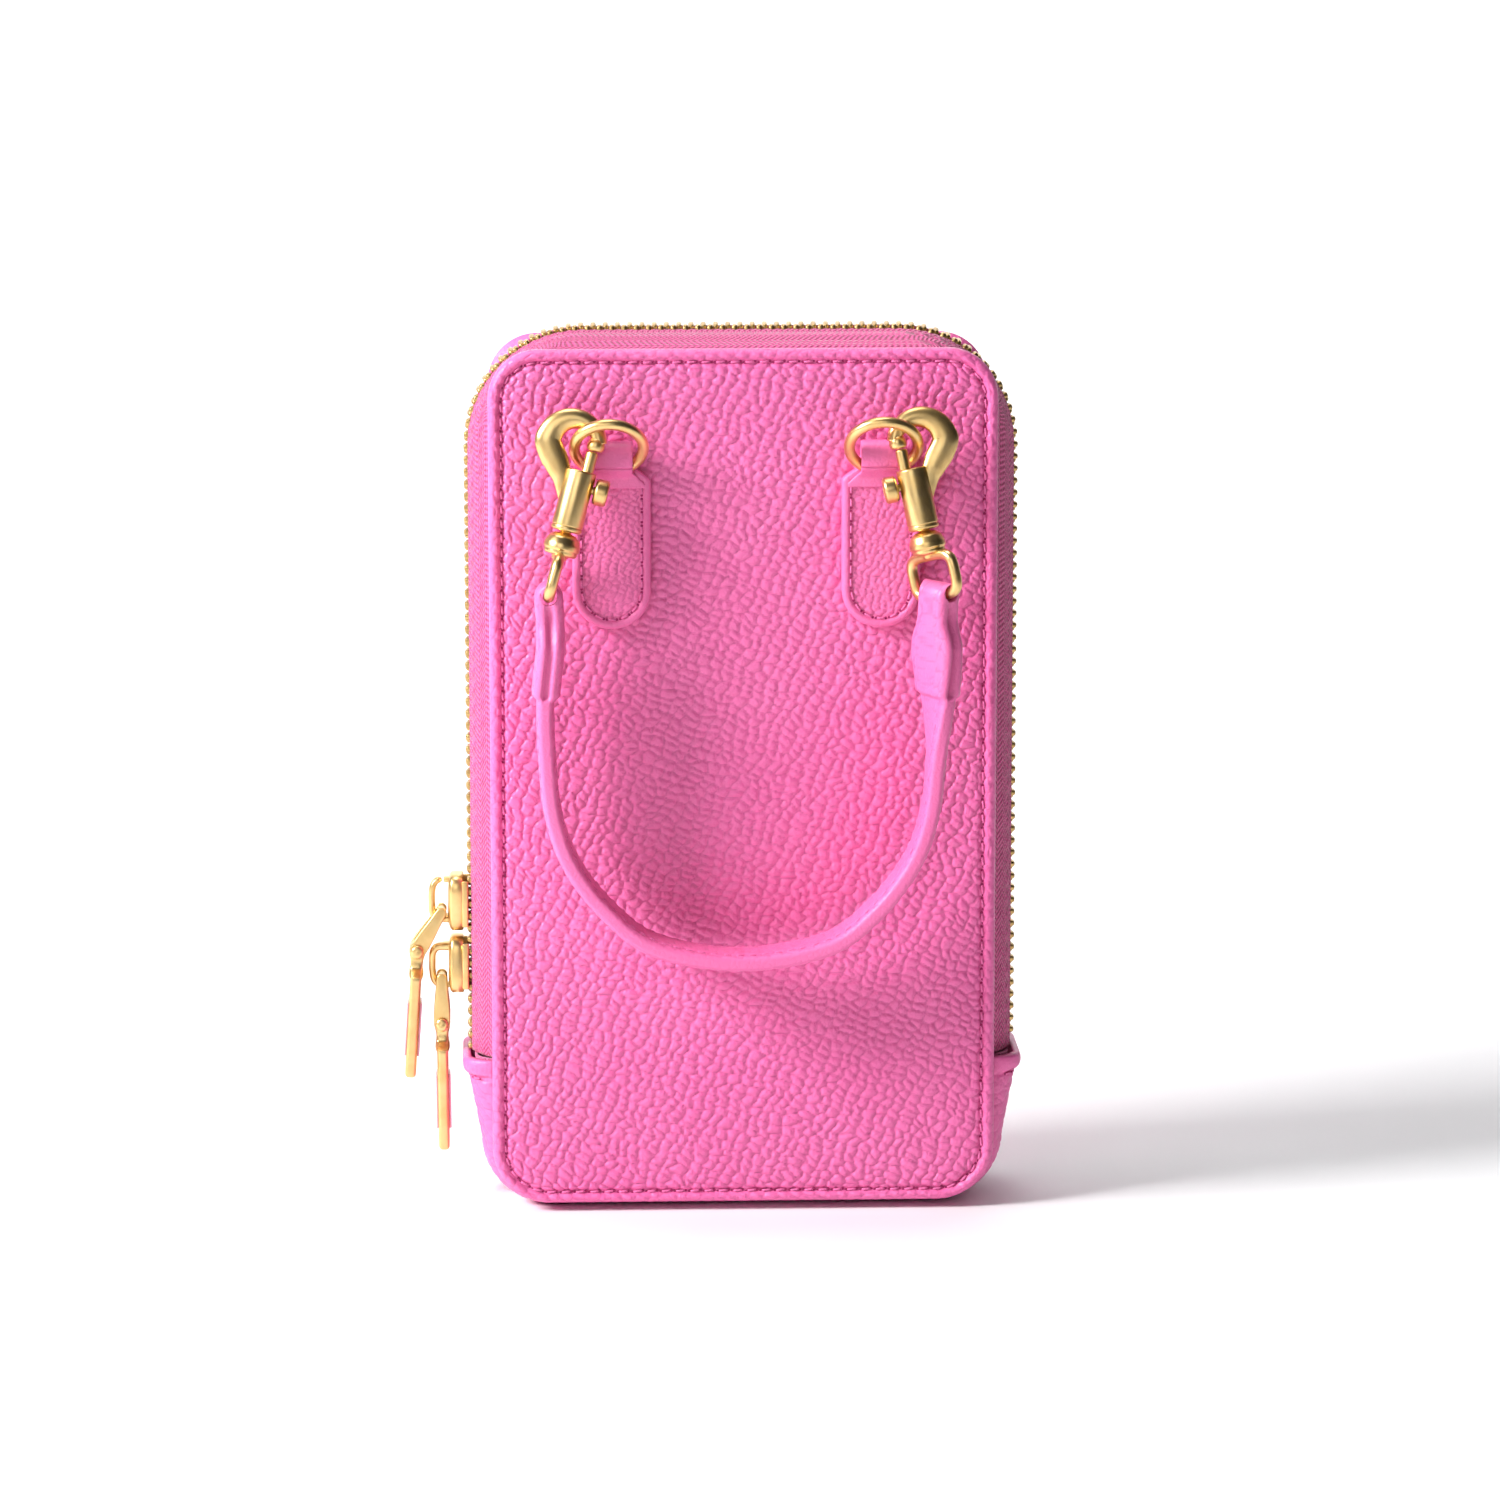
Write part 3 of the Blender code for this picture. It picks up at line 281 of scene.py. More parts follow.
def slab(outer, inner, flip=False):
    """Points and faces of a closed sheet between two equal grids."""
    rows, columns = outer.shape[:2]
    count = rows * columns
    points = np.concatenate([outer.reshape(-1, 3), inner.reshape(-1, 3)])
    faces = grid_faces(rows, columns, 0, flip) + grid_faces(rows, columns, count, not flip)
    edge = rim(rows, columns)
    for a, b in zip(edge, edge[1:] + edge[:1]):
        quad = (b, a, a + count, b + count)
        faces.append(quad[::-1] if flip else quad)
    return points, faces


def capped(front, back_y, flip=False):
    """Points and faces of a grid closed by straight walls and one flat face at the depth back_y."""
    rows, columns = front.shape[:2]
    points = front.reshape(-1, 3)
    edge = rim(rows, columns)
    wall = points[edge].copy()
    wall[:, 1] = back_y
    count = len(points)
    faces = grid_faces(rows, columns, 0, flip)
    total = len(edge)
    for i in range(total):
        k = (i + 1) % total
        quad = (edge[k], edge[i], count + i, count + k)
        faces.append(quad[::-1] if flip else quad)
    ring = list(range(count, count + total))
    faces.append(tuple(ring if flip else ring[::-1]))
    return np.concatenate([points, wall]), faces


def tube(sections, wrap=False):
    """Points and faces through rings of points (n, m, 3), capped unless it closes on itself."""
    sections = np.asarray(sections, float)
    rows, columns = sections.shape[:2]
    faces = grid_faces(rows, columns, 0, wrap=True)
    if wrap:
        last = (rows - 1) * columns
        faces += [(last + j, last + (j + 1) % columns, (j + 1) % columns, j) for j in range(columns)]
    else:
        faces.append(tuple(range(columns))[::-1])
        faces.append(tuple(range((rows - 1) * columns, rows * columns)))
    return sections.reshape(-1, 3), faces


def merged(parts):
    """Several (points, faces) as one."""
    points, faces, start = [], [], 0
    for some, quads in parts:
        points.append(np.asarray(some).reshape(-1, 3))
        faces += [tuple(i + start for i in quad) for quad in quads]
        start += len(points[-1])
    return np.concatenate(points), faces


def revolve(profile, steps=48, centre=0.0):
    """A profile of (radius, z) turned about an upright axis at x = centre; ends on the axis close it."""
    angles = turn(steps)
    return tube([np.stack([centre + r * np.cos(angles), r * np.sin(angles), np.full(steps, z)], 1)
                 for r, z in profile])


def turned(profile, radius, steps=48, centre=0.0):
    """A profile in millimetres with its corners rounded, turned about the axis."""
    return revolve(rounded(mm(*profile), radius * MM), steps, centre)


def swept(line, tangents, wide, deep, count, power=1.0):
    """Sections along a line in the XZ plane: wide across it in that plane, deep along Y."""
    across = np.stack([tangents[:, 2], 0 * tangents[:, 0], -tangents[:, 0]], 1)
    c, s = squash(np.cos(turn(count)), power), squash(np.sin(turn(count)), power)
    w, h = np.broadcast_to(wide, len(line))[:, None] * c, np.broadcast_to(deep, len(line))[:, None] * s
    return line[:, None] + w[:, :, None] * across[:, None] + h[:, :, None] * Y_AXIS


def copies(face, count, each):
    """The faces of one small mesh of so many points, repeated."""
    return [tuple(i + n * each for i in quad) for n in range(count) for quad in face]


def rounded(profile, radius):
    """A polyline profile with its inner corners rounded."""
    made = [profile[0]]
    for a, b, c in zip(profile, profile[1:], profile[2:]):
        near = min(radius, 0.45 * np.linalg.norm(a - b), 0.45 * np.linalg.norm(c - b))
        start, end = b + unit(a - b) * near, b + unit(c - b) * near
        made += [(1 - t) ** 2 * start + 2 * t * (1 - t) * b + t * t * end for t in np.linspace(0, 1, 4)]
    return made + [profile[-1]]


def moved(points, matrix):
    points = np.asarray(points, float).reshape(-1, 3)
    m = np.array(matrix)
    return points @ m[:3, :3].T + m[:3, 3]


def smooth_line(points, per_span):
    """Points on a smooth curve through the points given."""
    p = [np.array(q, float) for q in points]
    p = [2 * p[0] - p[1]] + p + [2 * p[-1] - p[-2]]
    made = []
    for a, b, c, d in zip(p, p[1:], p[2:], p[3:]):
        for i in range(per_span):
            t = i / per_span
            made.append(0.5 * (2 * b + (c - a) * t + (2 * a - 5 * b + 4 * c - d) * t * t
                               + (3 * b - a - 3 * c + d) * t ** 3))
    made.append(p[-2])
    return np.array(made)


def lengths_of(line):
    steps = np.linalg.norm(np.diff(line, axis=0), axis=1)
    return np.concatenate([[0.0], np.cumsum(steps)])


def sample(line, at, reach=2e-4):
    """Points at the given lengths along a polyline, with their unit tangents."""
    run = lengths_of(line)
    points, ahead, behind = (np.stack([np.interp(at + d, run, line[:, k]) for k in range(3)], 1)
                             for d in (0, reach, -reach))
    return points, unit(ahead - behind)


def resample(line, count=None, step=None, closed=False):
    """Evenly spaced points on a polyline, with their unit tangents and lengths along it."""
    if closed:
        line = np.concatenate([line, line[:1]])
    total = lengths_of(line)[-1]
    if count is None:
        count = max(2, int(round(total / step)) + 1)
    at = np.linspace(0, total, count)
    if closed:
        at = at[:-1]
    return *sample(line, at), at


def noise(a, b, seed):
    value = np.sin(a * 127.1 + b * 311.7 + seed * 74.7) * 43758.5453
    return value - np.floor(value)


def cells(u, v, seed):
    """Distances to the nearest and second nearest point of a jittered grid of unit cells."""
    iu, iv = np.floor(u), np.floor(v)
    first = np.full(u.shape, 9.0)
    second = np.full(u.shape, 9.0)
    for du in (-1, 0, 1):
        for dv in (-1, 0, 1):
            cu, cv = iu + du, iv + dv
            pu = cu + 0.5 + JITTER * (noise(cu, cv, seed) - 0.5)
            pv = cv + 0.5 + JITTER * (noise(cv, cu, seed + 5.3) - 0.5)
            d = np.hypot(u - pu, v - pv)
            second = np.minimum(second, np.maximum(first, d))
            first = np.minimum(first, d)
    return first, second


JITTER = 0.52  # how far a grain's centre strays from its cell's, in cells
GRAIN_LEAN, GRAIN_STRETCH = 1.15, 1.35


def pebble(u, v, size=0.0018, seed=1.0):
    """Relief of pebbled leather, 0 in the creases to 1 on the grains, and how deep in the creases a point is,
    which only sets painted shade.
    """
    wu = u + 0.00045 * np.sin(v * 610 + 2.0 * np.sin(u * 270)) + 0.0002 * np.sin(v * 1700 + u * 900)
    wv = v + 0.00045 * np.sin(u * 530 + 1.5 * np.sin(v * 330))
    c, s = math.cos(GRAIN_LEAN), math.sin(GRAIN_LEAN)
    a, b = (c * wu + s * wv) / size, (-s * wu + c * wv) / (size * GRAIN_STRETCH)
    first, second = cells(a, b, seed)
    gap = second - first
    grain = (1 - (1 - np.clip(gap / 0.42, 0, 1)) ** 1.7) * (1 - 0.75 * np.clip(first, 0, 1) ** 2)
    small_first, small_second = cells(a * 2.3 + 7, b * 2.3, seed + 2)
    fine = np.clip((small_second - small_first) / 0.5, 0, 1)
    height = np.clip(grain * (0.93 + 0.07 * fine), 0, 1)
    return height, np.clip(1 - gap / 0.22, 0, 1)


STITCH_RISE, HOLE_RADIUS = 0.22 * MM, 0.30 * MM


def stitches(centres, along, out, length=0.0021, radius=0.00026, sides=8, spans=8):
    """Threads that arch over the leather and dive into it, with a dark disc of painted shade for the needle
    hole at each end.

    Returns points, faces and the material index of each face: 0 for thread and 1 for the hole's painted
    shade."""
    side = np.cross(along, out)
    t = np.linspace(-1, 1, spans + 1)
    lift = STITCH_RISE * (1 - 1.9 * t ** 4) - 0.35 * radius
    size = radius * (1 - 0.35 * np.abs(t) ** 3)
    angles = turn(sides)
    ply = 1 + 0.13 * np.cos(2 * (angles[None, :] - 5.5 * t[:, None]))
    c, s = np.cos(angles)[None, :] * ply, np.sin(angles)[None, :] * ply
    middle = (centres[:, None, :] + along[:, None, :] * (t * length / 2)[None, :, None]
              + out[:, None, :] * lift[None, :, None])
    points = (middle[:, :, None, :]
              + side[:, None, None, :] * (size[:, None] * c)[None, :, :, None]
              + out[:, None, None, :] * (size[:, None] * s)[None, :, :, None])
    each = (spans + 1) * sides
    count = len(centres)
    faces = copies(tube(np.zeros((spans + 1, sides, 3)))[1], count, each)
    groups = [0] * len(faces) + [1] * 2 * count
    start = count * each
    faces += [tuple(range(start + k * sides, start + (k + 1) * sides))[::-1] for k in range(2 * count)]
    # a flat disc at each end of a stitch, drawn in the hole's painted shade
    rings = [m + a * end * length * 0.53 + o * 0.00003 + HOLE_RADIUS * (math.cos(p) * a + math.sin(p) * w)
             for m, a, o, w in zip(centres, along, out, side) for end in (-1, 1) for p in angles]
    return np.concatenate([points.reshape(-1, 3), np.array(rings).reshape(-1, 3)]), faces, groups


def sew(name, line, out, body, pitch=0.0030, closed=False, length=0.0021, radius=0.00026, slot="leather",
        slant=0.0):
    """A row of stitches along a line, with one outward direction."""
    run = lengths_of(np.concatenate([line, line[:1]]) if closed else line)[-1]
    count = max(2, int(round(run / pitch)))
    points, along, _ = resample(line, count + 1, closed=closed)
    if not closed:
        points, along = (points[:-1] + points[1:]) / 2, unit(along[:-1] + along[1:])
    outs = np.tile(np.array(out, float), (len(points), 1))
    along = unit(along + slant * np.cross(outs, along))
    made, faces, groups = stitches(points, along, outs, length, radius)
    return piece(name, made, faces, [THREAD, HOLE_SHADE], body, slot=slot, groups=groups)


def inset(x, z, half, bottom, top, low_radius, high_radius):
    """How far inside a rounded rectangle a point is."""
    middle = (bottom + top) / 2
    radius = np.where(z < middle, low_radius, high_radius)
    qx = np.abs(x) - (half - radius)
    qz = np.abs(z - middle) - ((top - bottom) / 2 - radius)
    return radius - (np.hypot(np.maximum(qx, 0), np.maximum(qz, 0)) + np.minimum(np.maximum(qx, qz), 0))


def outline_rows(half, bottom, top, low_radius, high_radius, step):
    """Heights and half widths of rows that follow a rounded rectangle's corners evenly."""
    turns = max(6, int(low_radius * math.pi / 2 / step))
    rows = [(bottom + low_radius * (1 - math.cos(a)), half - low_radius * (1 - math.sin(a)))
            for a in np.linspace(0, math.pi / 2, turns, endpoint=False)]
    straight = max(2, int((top - bottom - low_radius - high_radius) / step))
    rows += [(z, half)
             for z in np.linspace(bottom + low_radius, top - high_radius, straight, endpoint=False)]
    turns = max(6, int(high_radius * math.pi / 2 / step))
    rows += [(top - high_radius * (1 - math.cos(a)), half - high_radius * (1 - math.sin(a)))
             for a in np.linspace(math.pi / 2, 0, turns + 1)]
    return np.array(rows)


def rounded_rectangle(half, bottom, top, low_radius, high_radius, y, steps=16):
    """Points round a rounded rectangle in the XZ plane at the depth y."""
    corners = ((-half + low_radius, bottom + low_radius, low_radius, 180),
               (half - low_radius, bottom + low_radius, low_radius, 270),
               (half - high_radius, top - high_radius, high_radius, 0),
               (-half + high_radius, top - high_radius, high_radius, 90))
    line = [(cx + r * math.cos(math.radians(a)), y, cz + r * math.sin(math.radians(a)))
            for cx, cz, r, start in corners for a in np.linspace(start, start + 90, steps + 1)]
    return np.array(line)


# ---------------------------------------------------------------- case

PANEL_LOW, PANEL_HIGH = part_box("front_panel")
HALF = PANEL_HIGH.x
PANEL_BOTTOM, PANEL_TOP = PANEL_LOW.z, PANEL_HIGH.z
DEPTH = PANEL_LOW.y  # outer face of the front panel
THICK = PANEL_HIGH.y - PANEL_LOW.y
LOW_RADIUS, HIGH_RADIUS = 12 * MM, 10.5 * MM
TUCK = 2.2 * MM  # how far inside the panel's edge the tape and the gusset start
PANEL = (HALF, PANEL_BOTTOM, PANEL_TOP, LOW_RADIUS, HIGH_RADIUS)
SEAM = (HALF - 2.7 * MM, PANEL_BOTTOM + 2.4 * MM, PANEL_TOP - 2.6 * MM, 9.5 * MM, 8.0 * MM)


def panel(side):
    """A leather panel: a rounded lip, a stitched groove and a padded, pebbled middle."""
    word, body = half_of(side)
    rows = outline_rows(*PANEL, 0.33 * MM)
    u = np.sin(np.linspace(-1, 1, 331) * math.pi / 2 * 0.86) / math.sin(math.pi / 2 * 0.86)
    z = np.repeat(rows[:, :1], len(u), 1)
    x = rows[:, 1:] * u[None, :]
    edge, seam = inset(x, z, *PANEL), inset(x, z, *SEAM)
    round_edge, groove_width = 1.3 * MM, 0.62 * MM
    drop = np.clip((round_edge - edge) / round_edge, 0, 1)
    fall = 1.25 * MM * (1 - np.sqrt(np.clip(1 - drop * drop, 0, 1)))
    groove = np.exp(-(seam / groove_width) ** 2)
    lip = np.clip(-seam / (2.6 * MM), 0, 1)
    crown = 0.30 * MM * (1 - 4 * (lip - 0.5) ** 2) * (seam < 0)
    pad = 0.34 * MM * (1 - np.exp(-np.clip(seam, 0, 1) / (2.4 * MM)))
    pucker = (0.10 * MM * np.cos(2 * math.pi * (x + z) / (3.0 * MM))
              * np.exp(-((seam + 1.0 * MM) / (1.2 * MM)) ** 2))
    height, painted_crease_shade = pebble(-side * x, z, seed=1.0 if side < 0 else 4.0)
    depth = 0.52 * MM * np.where(seam < 0, 0.35, 1.0) * np.clip(edge / (1.0 * MM), 0.15, 1)
    proud = -0.30 * MM - fall - groove_width * groove + crown + pad + pucker - depth * (1 - height)
    y = DEPTH - np.minimum(proud, 0.05 * MM)
    made, faces = capped(np.stack([x, -side * y, z], 2), side * (abs(DEPTH) - THICK), flip=side > 0)
    # painted shade darkens the grain's creases and the stitched groove
    piece(word + "_panel_leather", made, faces, LEATHER, body, [word + "_panel"], "leather",
          painted_crease_shade=np.clip(painted_crease_shade * 0.8 + groove * 0.25, 0, 1))
    line = rounded_rectangle(*SEAM, side * (abs(DEPTH) - 0.80 * MM), 20)
    sew(word + "_panel_stitches", line, (0, side, 0), body, closed=True, slant=0.12)


def over_line(half, top, radius, bottom, step=0.3 * MM):
    """Up the left side, over the top and down the right side, as (x, z) points with outward normals."""
    left = [(-half, z) for z in np.arange(bottom, top - radius, step)]
    turn = [(-half + radius + radius * math.cos(a), top - radius + radius * math.sin(a))
            for a in np.linspace(math.pi, math.pi / 2, int(radius * 1.57 / step))]
    half_line = left + turn
    middle = [(x, top) for x in np.arange(-half + radius + step, half - radius, step)]
    return np.array(half_line + middle + [(-x, z) for x, z in reversed(half_line)])


TEETH_LOW, TEETH_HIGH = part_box("front_teeth")
TAPE_LOW, TAPE_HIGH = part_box("front_zip_tape")
TEETH_RADIUS = 25 * MM
TOOTH_PITCH = 2.54 * MM
ZIP_BOTTOM = TEETH_LOW.z


def paired(rounds, count):
    """Two over_lines sampled at matching places, each (count, 2), from their (half, top, radius)."""
    lines = []
    for half, top, radius in rounds:
        left = np.linspace(0, 1, count[0], endpoint=False)
        half_line = [(-half, q) for q in ZIP_BOTTOM + (top - radius - ZIP_BOTTOM) * left]
        half_line += [(-half + radius + radius * math.cos(a), top - radius + radius * math.sin(a))
                      for a in np.linspace(math.pi, math.pi / 2, count[1])]
        middle = np.linspace(-half + radius, half - radius, count[2])[1:-1]
        other = [(-a, b) for a, b in reversed(half_line)]
        lines.append(np.array(half_line + [(q, top) for q in middle] + other))
    return lines


def zip_tape(side):
    """The woven tape from the panel's seam out to the teeth, with a doubled selvedge by the teeth."""
    word, body = half_of(side)
    edge, crown = paired(((HALF - TUCK, PANEL_TOP - TUCK, 8.3 * MM), (TAPE_HIGH.x, TAPE_HIGH.z, 24 * MM)),
                         (200, 60, 120))
    run = lengths_of(crown)[:, None]
    across = np.linspace(0, 1, 34)
    wall, last = abs(TAPE_LOW.y), abs(TAPE_HIGH.y)
    cloth = 14 * MM * across
    bow = across * math.pi / 2
    x, z = (edge[:, None, k] + (crown - edge)[:, None, k] * np.sin(bow) for k in (0, 1))
    along = unit(np.gradient(crown, axis=0))
    out = np.stack([-along[:, 1], np.zeros(len(along)), along[:, 0]], 1)
    normal = unit(out[:, None, :] * np.sin(bow * 0.9 + 0.12)[None, :, None]
                  + side * Y_AXIS * (np.cos(bow) * 0.75)[None, :, None])
    folds = np.abs(cloth % (4.4 * MM) - 2.2 * MM)
    ribs = 0.09 * MM * np.sin(2 * math.pi * (run + folds) / (1.1 * MM))
    selvedge = 0.22 * MM * np.clip((across - 0.86) / 0.05, 0, 1)
    y = np.broadcast_to(side * (wall + (last - wall) * across), x.shape)
    base = np.stack([x, y, z], 2)
    outer = base + normal * (ribs + selvedge - 0.12 * MM)[:, :, None]
    points, faces = slab(outer, base - normal * 0.62 * MM, flip=side < 0)
    weave = np.stack([run + 0 * x, cloth + 0 * x, x * 0], 2)
    piece(word + "_tape_cloth", points, faces, TAPE, body, [word + "_zip_tape"], "zip_tape",
          weave=np.concatenate([weave, weave]))


def teeth(side):
    """One row of separate metal teeth, clamped on the tape's edge and meshing with the other row's."""
    word, body = half_of(side)
    half_thick = 1.4 * MM
    line = over_line(TEETH_HIGH.x - half_thick, TEETH_HIGH.z - half_thick, TEETH_RADIUS - half_thick,
                     ZIP_BOTTOM + (0.7 if side < 0 else 1.97) * MM)
    line = np.stack([line[:, 0], np.zeros(len(line)), line[:, 1]], 1)
    count = int(lengths_of(line)[-1] / TOOTH_PITCH)
    centres, along = sample(line, np.arange(count) * TOOTH_PITCH, 1e-4)
    out = np.stack([-along[:, 2], np.zeros(count), along[:, 0]], 1)
    # depth from the middle, half length along the chain, half thickness
    shape = mm((-3.9, 0.50, 1.05), (-3.75, 0.62, 1.30), (-3.1, 0.66, 1.40), (-2.0, 0.66, 1.40),
               (-1.3, 0.60, 1.38), (-0.8, 0.50, 1.30), (-0.35, 0.48, 1.22), (0.0, 0.56, 1.15),
               (0.30, 0.54, 1.0), (0.45, 0.34, 0.72))
    sides = 12
    angles = turn(sides, 0.5)
    c, s = squash(np.cos(angles), 0.6), squash(np.sin(angles), 0.6)
    points = (centres[:, None, None, :]
              + along[:, None, None, :] * (shape[:, 1, None] * c)[None, :, :, None]
              + out[:, None, None, :] * (shape[:, 2, None] * s)[None, :, :, None]
              + Y_AXIS * (-side * shape[:, 0])[None, :, None, None])
    one = tube(np.zeros((len(shape), sides, 3)))[1]
    if side < 0:
        one = [quad[::-1] for quad in one]
    faces = copies(one, count, len(shape) * sides)
    piece(word + "_zip_teeth", points, faces, BRASS, body, [word + "_teeth"], "teeth")


def under_line(half, bottom_half, top, radius, base, counts):
    """Down the left side, under the base and up the right side, as (x, z) points."""
    low = base + radius
    t = np.linspace(0, 1, counts[0], endpoint=False)
    left = np.stack([-half + (half - bottom_half) * t, top - (top - low) * t], 1)
    a = np.linspace(math.pi, 1.5 * math.pi, counts[1])
    corner = np.stack([-bottom_half + radius + radius * np.cos(a), low + radius * np.sin(a)], 1)
    middle = np.linspace(-bottom_half + radius, bottom_half - radius, counts[2])[1:-1]
    middle = np.stack([middle, np.full(len(middle), base)], 1)
    half_line = np.concatenate([left, corner])
    return np.concatenate([half_line, middle, half_line[::-1] * (-1, 1)])


def gusset(name, node, material_used, inset_by, thickness, leather_like):
    """The strip that joins front and back under the base, with a rolled hem at each top end."""
    low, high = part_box(node)
    wall_depth = high.y
    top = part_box("lower_gusset")[1].z
    counts = (70, 60, 170)
    half = HALF - TUCK - inset_by
    edge = under_line(half, half, top, 9.8 * MM, PANEL_BOTTOM + TUCK + inset_by, counts)
    crown = under_line(high.x, 55 * MM - inset_by, top, 15 * MM - inset_by, low.z, counts)

    def bow(t):
        """How far from the seam towards the crown the strip is, at a depth t from -1 to 1."""
        return np.sqrt(np.clip(1 - np.clip((np.abs(t) - 0.6) / 0.4, 0, 1) ** 2, 0, 1))

    t = np.linspace(-1, 1, 75)
    s = bow(t)
    x, z = (edge[:, None, k] + (crown - edge)[:, None, k] * s for k in (0, 1))
    y = np.broadcast_to(t * wall_depth, x.shape)
    base = np.stack([x, y, z], 2)
    normal = unit(np.cross(np.gradient(base, axis=1), np.gradient(base, axis=0)))
    flip = normal[len(edge) // 2, 37, 2] > 0
    if flip:
        normal = -normal
    run = lengths_of(crown)
    from_end = np.minimum(run, run[-1] - run)[:, None] + 0 * x
    run = run[:, None] + 0 * x
    if leather_like:
        height, painted_crease_shade = pebble(run, y, seed=7.0)
        hem = 3.4 * MM
        bead = np.clip(1 - ((from_end - hem / 2) / (hem / 2)) ** 2, 0, 1)
        proud = -0.26 * MM * (1 - height) * np.where(from_end < hem, 0.35, 1) - 0.15 * MM
        proud = proud + 0.85 * MM * np.sqrt(bead) * s * (from_end < hem)
        proud = proud - 0.35 * MM * np.exp(-((from_end - hem - 0.5 * MM) / (0.5 * MM)) ** 2)
        proud = proud * np.clip((1 - np.abs(t)) / 0.04, 0.05, 1)[None, :]
        flat = np.clip((z - 0.4 * MM) / (0.6 * MM), 0, 1)
        proud = np.where(proud > 0, proud * flat, proud)
        # painted shade darkens the grain's creases away from the hems
        values = {"painted_crease_shade": np.clip(painted_crease_shade * 0.8 * (from_end > hem), 0, 1)}
    else:
        proud = 0.04 * MM * np.sin(run * 900) * s
        weave = np.stack([run, y, 0 * x], 2)
        values = {"weave": np.concatenate([weave, weave])}
    outer = base + normal * proud[:, :, None]
    outer[:, :, 2] = np.maximum(outer[:, :, 2], low.z)
    points, faces = slab(outer, base - normal * thickness, flip=not flip)
    obj = piece(name, points, faces, material_used, None, [node], "leather" if leather_like else "lining",
                **values)
    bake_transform(obj)
    if not leather_like:
        return
    stitch_z = top - 4.0 * MM
    index = int(np.argmin(np.abs(edge[:counts[0], 1] - stitch_z)))
    near, far = abs(edge[index, 0]), abs(crown[index, 0])
    ts = np.linspace(-0.88, 0.88, 60)
    xs = near + (far - near) * bow(ts) - 0.45 * MM
    for word, sign in (("left", -1), ("right", 1)):
        line = resample(np.stack([sign * xs, ts * wall_depth, np.full(60, stitch_z)], 1), 12)[0]
        along = unit(line[1:] - line[:-1])
        outs = np.cross(along, (0, 0, 1.0))
        outs *= np.sign(outs[:, :1]) * sign
        made, quads, groups = stitches((line[:-1] + line[1:]) / 2, along, outs)
        row = piece(word + "_gusset_stitches", made, quads, [THREAD, HOLE_SHADE], None, slot="leather",
                    groups=groups)
        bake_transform(row)


def lining(side):
    """A cloth-covered inner face with a slight quilted rise."""
    word, body = half_of(side)
    low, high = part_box(word + "_lining")
    outline = (high.x, low.z, high.z, 6 * MM, 6 * MM)
    rows = outline_rows(*outline, 1.2 * MM)
    u = np.linspace(-1, 1, 90)
    z = np.repeat(rows[:, :1], len(u), 1)
    x = rows[:, 1:] * u[None, :]
    fall = 0.35 * MM * np.exp(-inset(x, z, *outline) / (0.5 * MM))
    wave = 0.05 * MM * np.sin(x * 260 + 1.3) * np.sin(z * 210)
    open_y, wall_y = (high.y, low.y) if side < 0 else (low.y, high.y)
    points = np.stack([x, open_y + side * (fall + 0.06 * MM - wave), z], 2)
    made, faces = capped(points, wall_y, flip=side < 0)
    piece(word + "_lining_cloth", made, faces, LINING, body, [word + "_lining"], "lining",
          weave=np.stack([x, z, 0 * x], 2))
    margin = 1.6 * MM
    line = rounded_rectangle(high.x - margin, low.z + margin, high.z - margin, 4.5 * MM, 4.5 * MM,
                             open_y + side * 0.12 * MM)
    sew(word + "_lining_stitches", line, (0, -side, 0), body, closed=True, radius=0.2 * MM, slot="lining")


